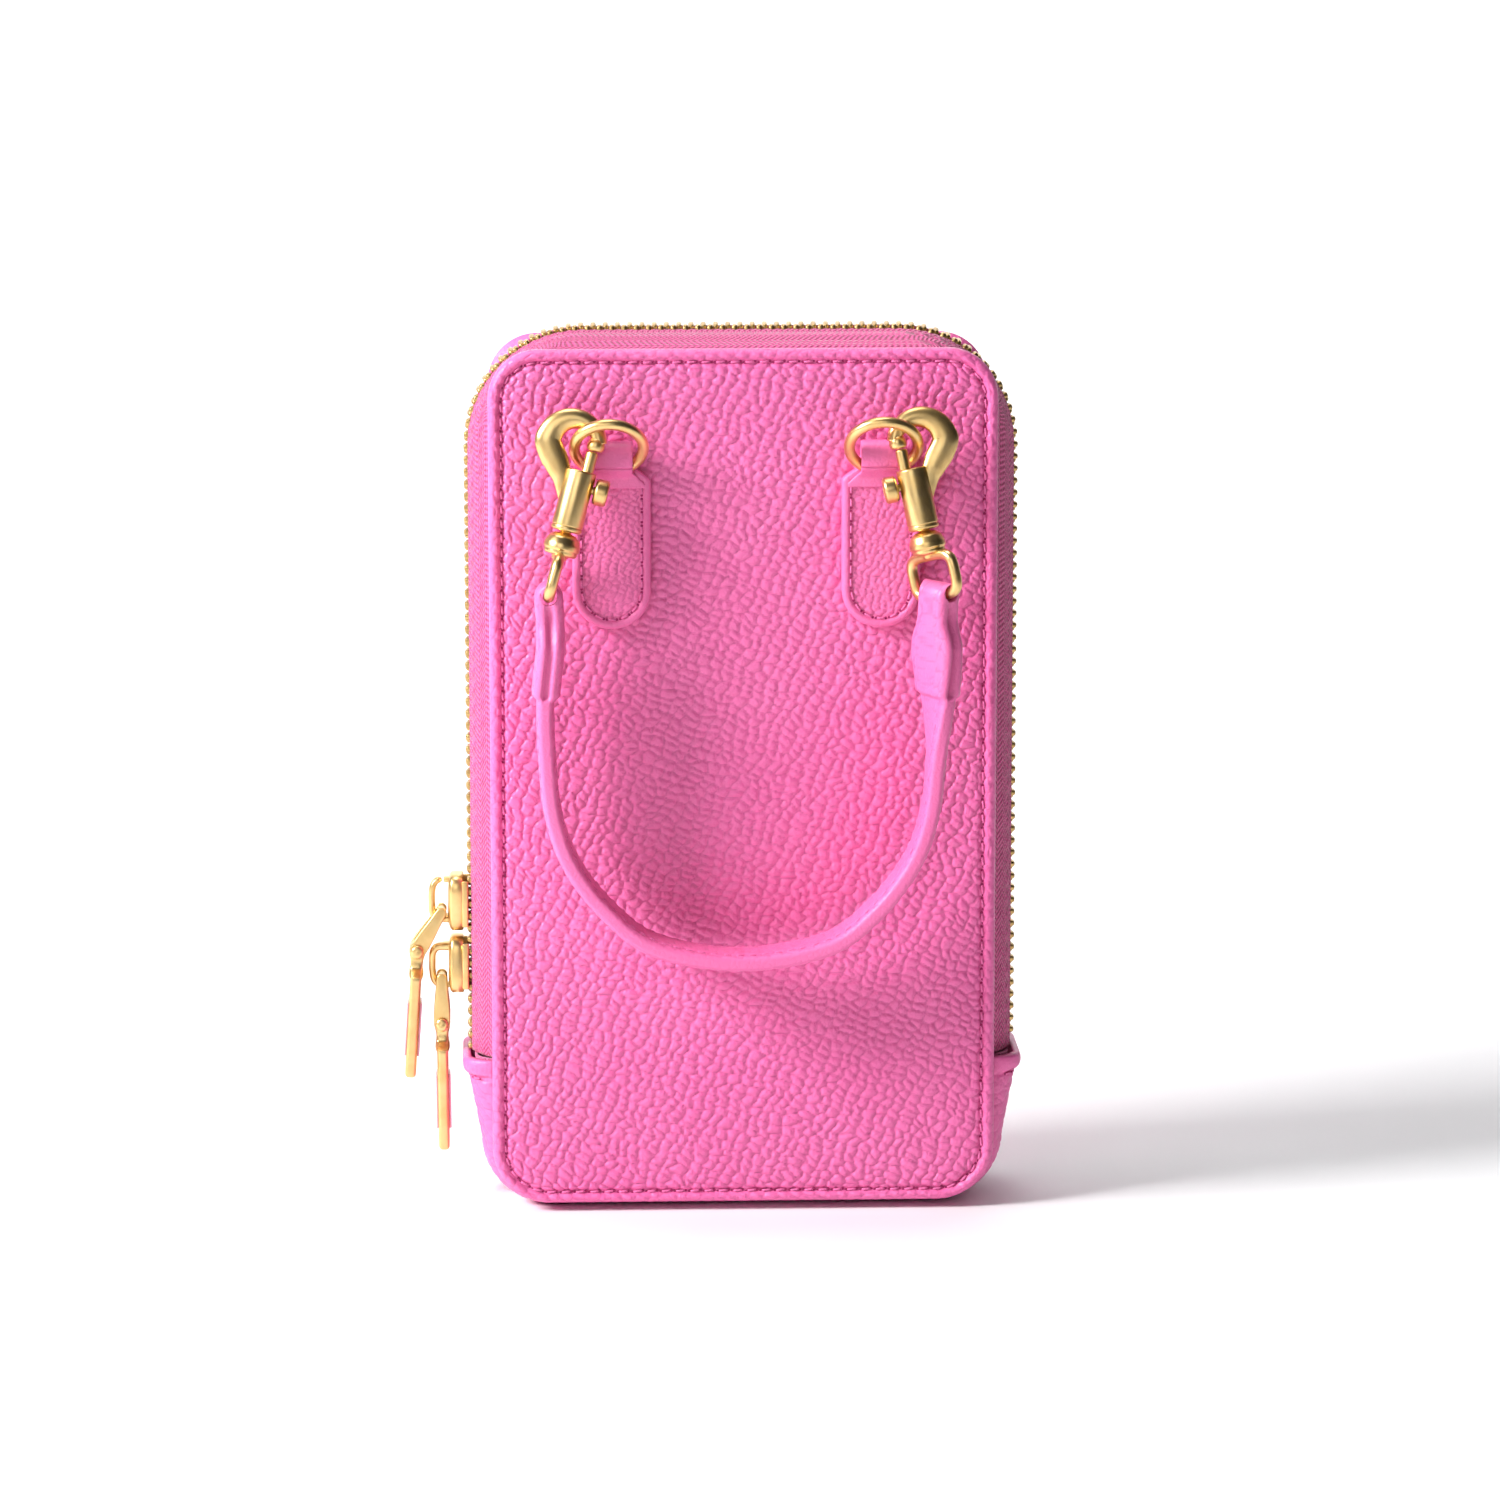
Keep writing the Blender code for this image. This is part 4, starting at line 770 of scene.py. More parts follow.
def pocket(node, side, used):
    """A patch pocket: a softly bulged face with a bound top edge, turned sides and stitching."""
    low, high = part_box(node)
    body = half_of(side)[1]
    wall, corner = 0.7 * MM, 2 * MM
    face_y, back_y = (high.y, low.y) if side < 0 else (low.y, high.y)
    us = np.linspace(-1, 1, 81)
    zs = np.linspace(low.z, high.z, 70)
    x, z = high.x * us[None, :] + 0 * zs[:, None], zs[:, None] + 0 * us[None, :]
    edge = np.minimum(high.x - np.abs(x), z - low.z)
    fall = 0.8 * MM * np.exp(-edge / (0.9 * MM))
    hem = np.clip(1 - ((high.z - 1.6 * MM - z) / (1.7 * MM)) ** 2, 0, 1)
    bulge = 0.10 * MM * np.cos(us * math.pi / 2)[None, :] * np.sin((z - low.z) / (high.z - low.z) * math.pi)
    proud = -fall - 0.32 * MM + 0.20 * MM * np.sqrt(hem) + bulge
    outer = np.stack([x, face_y - side * np.maximum(proud, -0.5 * abs(face_y - back_y)), z], 2)
    inner = outer + side * wall * Y_AXIS
    inner[:, :, 0] *= (high.x - wall) / high.x
    # the turned sides and bottom, which run back to the lining
    path = [(-high.x, high.z - 0.5 * MM)]
    path += [(-high.x, q) for q in np.linspace(high.z - corner, low.z + corner, 20)]
    path += [(-high.x + corner * (1 - math.cos(a)), low.z + corner * (1 - math.sin(a)))
             for a in np.linspace(0, math.pi / 2, 6)]
    sections = []
    for px, pz in path + [(-a, b) for a, b in reversed(path)]:
        inward = unit(np.array([-np.sign(px) * min(1.0, abs(px) / high.x), 0, float(pz < low.z + corner)]))
        a = np.array([px, face_y + side * 0.5 * MM, pz]) + inward * 0.12 * MM
        b = np.array([px, back_y - side * 0.05 * MM, pz]) + inward * 0.12 * MM
        sections.append([a, b, b + inward * wall * 0.8, a + inward * wall * 0.8])
    side_points, side_faces = tube(sections)
    if side > 0:
        side_faces = [quad[::-1] for quad in side_faces]
    made, quads = merged([slab(outer, inner, flip=side < 0), (side_points, side_faces)])
    piece(node + "_cloth", made, quads, used, body, [node], "lining", painted_crease_shade=np.zeros(len(made)),
          weave=made[:, [0, 2, 1]])
    hem_line = np.stack([np.linspace(-high.x + corner, high.x - corner, 60),
                         np.full(60, face_y + side * 0.32 * MM), np.full(60, high.z - 3.9 * MM)], 1)
    sew(node + "_hem_stitches", hem_line, (0, -side, 0), body, radius=0.2 * MM, slot="lining")


# ---------------------------------------------------------------- tabs and rings

def ring_tab(word):
    """A leather tab: a smooth rim round a stitched, pebbled middle, and a strap folded over the ring."""
    node = word + "_ring_tab"
    low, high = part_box(node)
    centre, half, neck_half = (low.x + high.x) / 2, (high.x - low.x) / 2, 4.3 * MM
    shoulder, neck_start, plate_top, line_z = high.z - mm(8.6, 4.9, 4.0, 7.5)
    stitch_in, edge_radius, groove_width = mm(1.9, 1.0, 0.42)
    foot_z, plate_y = low.z + half, low_face(node)
    rows = [(low.z + half * (1 - math.cos(a)), half * math.sin(a))
            for a in np.linspace(0.02, math.pi / 2, 36)]
    rows += [(q, half) for q in np.linspace(foot_z, shoulder, 80)[1:]]
    rows += [(shoulder + (neck_start - shoulder) * t, neck_half + (half - neck_half) * (1 - smooth_step(t)))
             for t in np.linspace(0, 1, 22)[1:]]
    rows += [(q, neck_half) for q in np.linspace(neck_start, plate_top, 5)[1:]]
    rows = np.array(rows)
    u = np.sin(np.linspace(-1, 1, 75) * 1.3) / math.sin(1.3)
    z = np.repeat(rows[:, :1], len(u), 1)
    x = rows[:, 1:] * u[None, :]
    edge = np.where(z < foot_z, half - np.hypot(x, z - foot_z), rows[:, 1:] - np.abs(x))
    drop = np.clip((edge_radius - edge) / edge_radius, 0, 1)
    fall = 0.95 * MM * (1 - np.sqrt(np.clip(1 - drop ** 2, 0, 1)))
    seam = np.where(z > line_z - 2 * MM, 9, np.abs(edge - stitch_in))
    top_seam = np.where(np.abs(x) < half - 1.5 * MM, np.abs(z - (line_z - 1.4 * MM)), 9)
    groove = np.exp(-(np.minimum(seam, top_seam) / groove_width) ** 2)
    inside = np.clip((edge - stitch_in) / (0.5 * MM), 0, 1) * (z < line_z - 1.2 * MM)
    height, painted_crease_shade = pebble(x + centre, z, size=1.2 * MM, seed=9.0 + centre)
    proud = -0.12 * MM - fall - groove_width * groove - inside * (0.35 * MM + 0.30 * MM * (1 - height))
    plate = capped(np.stack([x + centre, plate_y - proud, z], 2), high.y)

    # the fold: a strap from the plate's front, round over the ring's bore and down the back
    thick = 0.40 * MM
    radius = (high.y - low.y) / 2
    route = [(plate_y + 0.50 * MM, high.z - 9.8 * MM), (plate_y + 0.15 * MM, high.z - 8.6 * MM),
             (plate_y - 0.35 * MM, high.z - 7.4 * MM), (low.y + 0.9 * MM, high.z - 5.6 * MM),
             (low.y + 0.42 * MM, high.z - 4.0 * MM)]
    bend = radius - thick
    route += [(high.y - radius - bend * math.cos(a), high.z - radius + bend * math.sin(a))
              for a in np.linspace(0, math.pi, 13)]
    route += [(high.y - thick, high.z - 4.2 * MM), (high.y - thick, high.z - 5.6 * MM)]
    path, tangent, run = resample(smooth_line([(0, a, b) for a, b in route], 4), 70)
    c, s = squash(np.cos(turn(20)), 0.25), squash(np.sin(turn(20)), 0.7)
    sections = []
    for p, t, r in zip(path, tangent, run):
        n = np.array([0, t[2], -t[1]])
        on_plate = r < run[-1] * 0.3
        if n[1] > 0 and on_plate:
            n = -n
        spread = np.clip((high.z - 6.6 * MM - p[2]) / (3.0 * MM), 0, 1) * on_plate
        wide = neck_half * (1.0 + 0.75 * spread) * c
        sections.append(p + (centre + wide)[:, None] * np.array([1, 0, 0]) + (thick * s)[:, None] * n)
    made, faces = merged([plate, tube(sections)])
    # painted shade darkens the grain's creases inside the stitching and the stitched groove
    piece(word + "_tab_leather", made, faces, STRAP_LEATHER, "front_cover", [node], "leather",
          painted_crease_shade=np.clip(painted_crease_shade * inside * 0.9 + groove * 0.35, 0, 1))
    line_half = half - stitch_in
    foot_line = [(centre - line_half, q) for q in np.linspace(line_z - 1.5 * MM, foot_z, 30)]
    foot_line += [(centre + line_half * math.cos(a), foot_z + line_half * math.sin(a))
                  for a in np.linspace(math.pi, 2 * math.pi, 30)]
    foot_line += [(centre + line_half, q) for q in np.linspace(foot_z, line_z - 1.5 * MM, 30)]
    top_line = [(a, line_z - 1.4 * MM) for a in np.linspace(centre - line_half, centre + line_half, 20)]
    for name, line in (("_tab_stitches", foot_line), ("_tab_top_stitches", top_line)):
        line = np.array([(a, plate_y + 0.42 * MM, b) for a, b in line])
        sew(word + name, line, (0, -1, 0), "front_cover", pitch=2.8 * MM, length=1.9 * MM, radius=0.22 * MM)


def points_of(node):
    return np.array([v.co for v in frame["nodes"][node].data.vertices])


def low_face(node):
    """Depth of a tab's plate: its lowest vertices are on the plate, not on the fold."""
    points = points_of(node)
    return points[points[:, 2] < points[:, 2].min() + 4 * MM][:, 1].min()


def ring(word):
    """The wire ring, where the CAD ring is: its centre, plane and radius are read from that mesh."""
    node = word + "_ring"
    points = np.unique(np.round(points_of(node), 7), axis=0)
    centre = (points.min(0) + points.max(0)) / 2
    axes = np.linalg.svd(points - centre)[2]
    reach = np.linalg.norm(points - centre, axis=1)
    wire = (reach.max() - reach.min()) / 2
    a, b = turn(128)[:, None], turn(28)[None, :, None]
    out = np.cos(a) * axes[0] + np.sin(a) * axes[1]
    rings = (centre + (reach.max() - wire) * out)[:, None, :] + wire * 1.04 * (
        np.cos(b) * out[:, None, :] + np.sin(b) * axes[2])
    made, faces = tube(rings, wrap=True)
    piece(node + "_wire", made, faces, GOLD, node, [node], "hardware")


# ---------------------------------------------------------------- hooks

def hook_frame(word):
    """Origin and axes of a hook: z up its barrel, x towards its knob."""
    joint = JOINTS[word + "_swivel_turn"]
    origin, up = Vector(joint["pos_m"]), Vector(joint["axis"]).normalized()
    lean = math.atan2(up.y, up.z)
    depth = Vector((0, math.cos(lean), -math.sin(lean)))
    side = 1 if word == "left" else -1
    across = depth.cross(up).normalized() * side
    m = Matrix((across, depth, up)).transposed().to_4x4()
    m.translation = origin
    return m


def cut(obj, cutter):
    step = obj.modifiers.new("cut", "BOOLEAN")
    step.operation = "DIFFERENCE"
    step.object = cutter
    step.solver = "EXACT"


def apply_modifiers(obj, *helpers):
    """Bakes an object's modifiers into its mesh and removes the helper objects."""
    graph = bpy.context.evaluated_depsgraph_get()
    baked = bpy.data.meshes.new_from_object(obj.evaluated_get(graph))
    obj.modifiers.clear()
    obj.data = baked
    baked.shade_smooth()
    for helper in helpers:
        bpy.data.objects.remove(helper)


def sharpen(obj, degrees):
    obj.data.set_sharp_from_angle(angle=math.radians(degrees))


def facing(faces, m):
    """Faces turned round where the frame mirrors."""
    return [quad[::-1] for quad in faces] if m.to_3x3().determinant() < 0 else faces


def snap_hook(word):
    """Barrel, crescent bow, sliding bolt with its knob, and the swivel with its eye.

    Returns the middle and the direction of the eye's lower bar."""
    m = hook_frame(word)
    top, bore_x = 12.8, 1.2 * MM

    def hook_piece(name, parts, *args, **settings):
        made, faces = merged(parts)
        return piece(word + name, moved(made, m), facing(faces, m), GOLD, *args, **settings)

    barrel = turned([(0, 0), (2.75, 0), (3.2, 0.35), (3.2, 0.95), (3.02, 1.1), (3.2, 1.25), (3.2, top - 0.25),
                     (2.95, top), (0, top)], 0.2, 64)
    barrel = hook_piece("_hook_barrel", [barrel], None, [word + "_hook"], "hardware")
    bore = hook_piece("_bore_cutter", [revolve(mm((1.42, 3), (1.42, top + 1)), 32, bore_x)])
    slit = [[(bore_x, -w, z), (5 * MM, -w, z), (5 * MM, w, z), (bore_x, w, z)]
            for w, z in mm((0.95, 5.0), (0.95, 10.4))]
    slot = hook_piece("_slot_cutter", [tube(slit)])
    cut(barrel, bore)
    cut(barrel, slot)
    apply_modifiers(barrel, bore, slot)
    sharpen(barrel, 40)
    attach(barrel, "handle")

    # the bow: a fin up the barrel's outer side, swelling into a crescent and ending above the bolt
    route = [(-2.6, 0, 5.6), (-3.0, 0, 8.0), (-3.7, 0, 10.6), (-5.2, 0, 12.9), (-6.9, 0, 15.0)]
    route += [(-2.9 + 5.25 * math.cos(a), 0, 17.6 + 5.25 * math.sin(a))
              for a in np.radians(np.linspace(186, 14, 12))]
    line, tangent, run = resample(smooth_line(mm(*route), 6), 110)
    t = run / run[-1]
    wide = np.interp(t, [0, 0.08, 0.20, 0.32, 0.46, 0.62, 0.80, 0.93, 1.0],
                     mm(0.35, 1.1, 2.2, 2.75, 2.75, 2.35, 1.9, 1.65, 1.5))
    deep = np.interp(t, [0, 0.10, 0.24, 0.45, 0.8, 1.0], mm(0.35, 0.8, 1.25, 1.45, 1.45, 1.45))
    bow, faces = tube(swept(line, tangent, wide, deep, 28))
    tip = turned([(0, 17.25), (1.35, 17.25), (1.72, 17.6), (1.85, 18.5), (1.62, 19.5), (0.95, 20.15),
                  (0, 20.3)], 0.4, 32, 1.55 * MM)
    hook_piece("_hook_bow", [(bow, [q[::-1] for q in faces]), tip], "handle", slot="hardware")

    bolt = turned([(0, 8), (1.25, 8), (1.25, 16.8), (0.95, 17.1), (0, 17.1)], 0.15, 32, bore_x)
    knob, faces = turned([(0, 0), (0.8, 0), (0.8, 2.3), (2.2, 2.35), (2.72, 2.75), (2.75, 4.7), (2.45, 5.15),
                          (1.9, 5.2), (1.75, 5.0), (0, 5.05)], 0.25)
    lie = Matrix.Translation((bore_x, 0, 9.4 * MM)) @ Matrix.Rotation(math.radians(90), 4, "Y")
    hook_piece("_bolt_knob", [bolt, (moved(knob, lie), faces)], word + "_bolt", [word + "_bolt"], "hardware")

    # the swivel: a domed cap, its rivet, and the wire eye that the strap is folded through
    dome = turned([(0, -6.2), (1.5, -6.0), (1.6, -5.1), (3.1, -5.0), (3.45, -4.6), (3.45, -4.0), (3.75, -3.7),
                   (3.75, -2.7), (3.2, -1.3), (2.2, -0.5), (1.1, -0.35), (1.1, 2.2), (0, 2.2)], 0.35)
    eye_turn = math.radians(90 if word == "left" else 50)
    half_wide, half_high, eye_z, wire = mm(6.1, 4.2, -9.6, 1.15)
    c, s = squash(np.cos(turn(96)), 0.5), squash(np.sin(turn(96)), 0.5)
    loop = resample(np.stack([half_wide * c, 0 * c, eye_z + half_high * s], 1), 97, closed=True)[0]
    along = unit(np.roll(loop, -1, 0) - np.roll(loop, 1, 0))
    eye, faces = tube(swept(loop, along, wire, wire, 20), wrap=True)
    eye = moved(eye, Matrix.Rotation(eye_turn, 4, "Z"))
    hook_piece("_swivel_eye", [dome, (eye, [q[::-1] for q in faces])], word + "_swivel", [word + "_swivel"],
               "hardware")
    way = m.to_3x3() @ Vector((math.cos(eye_turn), math.sin(eye_turn), 0))
    way *= math.copysign(1.0, way.y)
    return np.array(m @ Vector((0, 0, eye_z - half_high))), np.array(way)


def strap(left_bar, right_bar):
    """The padded strap: two bonded leathers with painted edges, each end folded round a swivel's eye."""
    (left, left_way), (right, right_way) = left_bar, right_bar
    middle, half = (left[0] + right[0]) / 2 - 0.4 * MM, (right[0] - left[0]) / 2
    y = (left[1] + right[1]) / 2
    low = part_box("wrist_strap")[0].z + 1.9 * MM
    route = [left, (left[0] + 0.3 * MM, left[1], left[2] - 10 * MM),
             (middle - 1.01 * half, y, left[2] - 22 * MM)]
    shape = [(-1.0, 41.0), (-0.971, 30.6), (-0.887, 20.8), (-0.707, 11.0), (-0.449, 3.1), (0, 0)]
    shape += [(-share, rise) for share, rise in shape[-2::-1]]
    route += [(middle + share * half, y, low + rise * MM) for share, rise in shape]
    route += [(middle + 1.01 * half, y, right[2] - 22 * MM),
              (right[0] - 0.3 * MM, right[1], right[2] - 10 * MM), right]
    line, tangent, run = resample(smooth_line(route, 12), step=0.45 * MM)
    total = run[-1]
    fold, thickness, width, neck_width, tail, stitch_in = mm(3.0, 3.8, 12, 8, 20, 1.9)

    def section(t, q):
        """At a length q, where the strap runs along t: the way to the nearer end, how far the layers are
        folded double, the unit vectors across it and through it, and its half width and half thickness."""
        near = min(q, total - q)
        twist = smooth_step((38 * MM - near) / (32 * MM))
        wide = Y_AXIS * (1 - twist) + (left_way if q < total / 2 else right_way) * twist
        wide = unit(wide - t * wide.dot(t))
        double = smooth_step((tail + 0.9 * MM - near) / (0.9 * MM))
        half_thick = thickness / 2 + (fold - thickness / 2) * double
        if near < 0:
            half_thick = math.sqrt(max(0.0, fold ** 2 - near ** 2))
        half_wide = width / 2 + (neck_width - width) / 2 * smooth_step((11 * MM - near) / (7 * MM))
        return near, double, wide, np.cross(t, wide), half_wide, half_thick

    ups = fold * np.sin(np.radians([12, 24, 36, 48, 60, 70, 80, 87]))
    centres = np.concatenate([line[0] - tangent[0] * ups[::-1, None], line,
                              line[-1] + tangent[-1] * ups[:, None]])
    tangents = np.concatenate([np.tile(tangent[0], (8, 1)), tangent, np.tile(tangent[-1], (8, 1))])
    at = np.concatenate([-ups[::-1], run, total + ups])
    sections, shades = [], []
    angles = turn(64, 0.5)
    c, s = np.cos(angles), np.sin(angles)
    for p, t, q in zip(centres, tangents, at):
        near, double, wide, thick, half_wide, half_thick = section(t, q)
        w, h = squash(c, 0.42) * half_wide, squash(s, 0.62) * half_thick
        # on the wide faces: pebbling, a stitched channel near each edge and a slight crown
        face = np.clip((np.abs(s) - 0.35) / 0.3, 0, 1)
        grain, painted_crease_shade = pebble(q * np.sign(s + 1e-9), w + 0.03 * (s < 0), size=2.2 * MM, seed=12.0)
        channel = np.exp(-((np.abs(w) - (half_wide - stitch_in)) / (0.4 * MM)) ** 2) * face
        drop = 0.12 * MM * (1 - grain) * face + 0.20 * MM * channel
        # the split between the folded layers, and between the two bonded leathers
        split = np.exp(-(h / (0.62 * MM)) ** 2) * (np.abs(c) > 0.6)
        w = w - np.sign(w) * split * (1.5 * MM * double + 0.05 * MM) * min(1.0, max(0.0, near / (3.2 * MM)))
        h = h - np.sign(h) * np.minimum(drop, np.abs(h))
        sections.append(p + w[:, None] * wide + h[:, None] * thick)
        # painted shade: the split between the folded layers, the stitched channels and the grain's creases
        # are darkened
        dark = split * double * 0.9 * (near > 2 * MM)
        shades.append(np.clip(painted_crease_shade * face * 0.8 + dark + channel * 0.2, 0, 1))
    made, faces = tube(sections)
    obj = piece("wrist_strap_leather", made, faces, [STRAP_LEATHER], None, ["wrist_strap"], "strap_leather",
                painted_crease_shade=np.array(shades))
    holes = []
    for word, end, way in (("left", left, left_way), ("right", right, right_way)):
        up = Vector(way).to_track_quat("Z", "Y").to_matrix().to_4x4()
        up.translation = Vector(end) - Vector(way) * 12 * MM
        points, faces = revolve(mm((1.8, 0), (1.8, 24)), 32)
        holes.append(piece(word + "_strap_hole", moved(points, up), faces, HOLE_SHADE))
        cut(obj, holes[-1])
    apply_modifiers(obj, *holes)
    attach(obj, "handle")

    sewn = (run > 24 * MM) & (run < total - 24 * MM)
    parts = []
    for face_sign, edge_sign in ((-1, -1), (-1, 1), (1, -1), (1, 1)):
        rows, outs = [], []
        for p, t, q in zip(line[sewn][::6], tangent[sewn][::6], run[sewn][::6]):
            wide, thick, half_wide, half_thick = section(t, q)[2:]
            outs.append(thick * face_sign)
            rows.append(p + wide * edge_sign * (half_wide - stitch_in) + outs[-1] * (half_thick - 0.42 * MM))
        rows = np.array(rows)
        parts.append(stitches((rows[:-1] + rows[1:]) / 2, unit(rows[1:] - rows[:-1]), np.array(outs[:-1]),
                              1.8 * MM, 0.2 * MM))
    points, faces = merged([part[:2] for part in parts])
    piece("wrist_strap_stitches", points, faces, [THREAD, HOLE_SHADE], "handle", slot="strap_leather",
          groups=sum([part[2] for part in parts], []))


# ---------------------------------------------------------------- zip sliders and pulls

def block(a, b, bevel, segments=4):
    """A box with rounded edges between two opposite corners, in millimetres."""
    low, high = np.minimum(a, b) * MM, np.maximum(a, b) * MM
    bm = bmesh.new()
    bmesh.ops.create_cube(bm, size=1.0)
    for v in bm.verts:
        v.co = [(p + q) / 2 + r * (q - p) for p, q, r in zip(low, high, v.co)]
    bmesh.ops.bevel(bm, geom=bm.edges[:], offset=bevel * MM, segments=segments, profile=0.5, affect="EDGES")
    bm.verts.index_update()
    points = np.array([v.co[:] for v in bm.verts])
    faces = [tuple(v.index for v in f.verts) for f in bm.faces]
    bm.free()
    return points, faces


def lens(profile, depths):
    """A solid from an outline in XZ drawn at several depths, each (y, shrink)."""
    outline = np.array(profile)
    middle = outline.mean(0)
    tangent = np.roll(outline, -1, 0) - np.roll(outline, 1, 0)
    tangent /= np.linalg.norm(tangent, axis=1, keepdims=True)
    inward = np.stack([-tangent[:, 1], tangent[:, 0]], 1)
    if ((middle - outline) * inward).sum() < 0:
        inward = -inward
    sections = []
    for y, shrink in depths:
        p = outline + inward * shrink
        sections.append(np.stack([p[:, 0], np.full(len(p), y), p[:, 1]], 1))
    return tube(np.array(sections))


def disc_depths(low, high, bevel):
    """Depth steps of a plate with rounded edges."""
    steps = [(bevel * (1 - math.cos(a)), bevel * (1 - math.sin(a))) for a in np.linspace(0, math.pi / 2, 5)]
    return [(low + y, shrink) for y, shrink in steps] + [(high - y, shrink) for y, shrink in steps[::-1]]


def arc_points(cx, cz, radius, start, end, steps):
    return [(cx + radius * math.cos(math.radians(a)), cz + radius * math.sin(math.radians(a)))
            for a in np.linspace(start, end, steps)]


def oriented(shape):
    """A closed shape's points, with its faces wound so that they face out."""
    points, faces = shape
    bm = bmesh.new()
    verts = [bm.verts.new(p) for p in points]
    for quad in faces:
        bm.faces.new([verts[i] for i in quad])
    bmesh.ops.recalc_face_normals(bm, faces=bm.faces[:])
    bm.verts.index_update()
    found = [tuple(v.index for v in f.verts) for f in bm.faces]
    bm.free()
    return points, found


def slider(word):
    """Slider body: two shaped plates, a post, and a hook-shaped bridge for the link. All in millimetres."""
    node = word + "_slider"
    low, high = (np.array(corner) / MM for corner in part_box(node))
    up, z0 = (1, low[2]) if word == "upper" else (-1, high[2])

    def z(v):
        return z0 + up * v

    length, wide = high[2] - low[2], high[1]
    left, outer, slot_out, slot_in = low[0] + np.array([0.75, 4.5, 7.4, 11.6])
    inner = high[0]
    # shield-shaped plates in YZ: wide at the zip's open end, rounder at the closed one
    c, s = squash(np.cos(turn(48)), 0.55), squash(np.sin(turn(48)), 0.55)
    rise = length / 2 * (1 + s)
    shield = np.stack([wide * c * (0.80 + 0.20 * np.clip(rise / length * 1.4, 0, 1)), rise - length / 2], 1)
    plates = [[(outer - 0.35, 0.55), (outer - 0.245, 0.75), (outer, 0.90), (outer + 0.25, 0.965),
               (outer + 0.55, 1.0), (slot_out - 0.3, 1.0), (slot_out - 0.08, 0.975), (slot_out, 0.94)],
              [(slot_in, 0.94), (slot_in + 0.08, 0.975), (slot_in + 0.3, 1.0), (inner - 0.5, 1.0),
               (inner - 0.2, 0.965), (inner, 0.90)]]
    parts = [oriented(tube(mm(*([(x, q * k, z(length / 2 + r * k)) for q, r in shield] for x, k in steps))))
             for steps in plates]
    for side in (-1, 1):  # flanges that hold the rows of teeth
        parts.append(block((slot_out - 0.3, side * (wide - 0.9), z(1.2)),
                           (slot_out + 1.05, side * wide, z(length - 1.2)), 0.3))
    parts.append(block((slot_out - 0.5, -0.3, z(length - 2.5)), (slot_in + 0.5, 0.3, z(length - 0.4)), 0.1))
    # the bridge: a hook open at its far end, and the stub that it points at
    route = [(outer + 0.6, 2.5), (outer - 1.2, 2.45), (left + 0.9, 2.75), (left + 0.12, 3.9), (left, 5.6),
             (left, 7.6), (left + 0.25, 9.3), (left + 1.0, 10.45), (left + 2.1, 10.8)]
    path, tangent, run = resample(smooth_line(mm(*((a, 0, z(b)) for a, b in route)), 8), 60)
    share, knots = run / run[-1], [0, 0.2, 0.5, 0.8, 0.95, 1.0]
    thick = np.interp(share, knots, mm(1.0, 0.82, 0.72, 0.72, 0.66, 0.35))
    broad = np.interp(share, knots, mm(1.9, 1.45, 1.25, 1.25, 1.1, 0.6))
    parts.append(oriented(tube(swept(path, tangent, thick, broad, 20, 0.75))))
    parts.append(block((outer - 1.25, -0.9, z(10.2)), (outer + 0.5, 0.9, z(11.3)), 0.3))
    sharpen(piece(node + "_body", *merged(parts), GOLD, node, [node], "hardware"), 50)


def joint_point(name):
    return Vector(JOINTS[name]["pos_m"])


def hang_frame(word, part):
    """Frame of a link or pull at rest: origin on its hinge, z up its length, y along the hinge."""
    origin = joint_point(word + "_" + part + "_swing")
    if part == "link":
        down = (joint_point(word + "_pull_swing") - origin).normalized()
    else:
        points = points_of(word + "_pull_bar")
        low = points[:, 2].min()
        foot = points[points[:, 2] < low + 2.5 * MM]
        middle = (foot[:, 0].min() + foot[:, 0].max()) / 2
        down = Vector((middle - origin.x, 0, low - origin.z)).normalized()
    depth = Vector((0, 1, 0))
    m = Matrix((depth.cross(-down), depth, -down)).transposed().to_4x4()
    m.translation = Vector((origin.x, 0, origin.z))
    return m


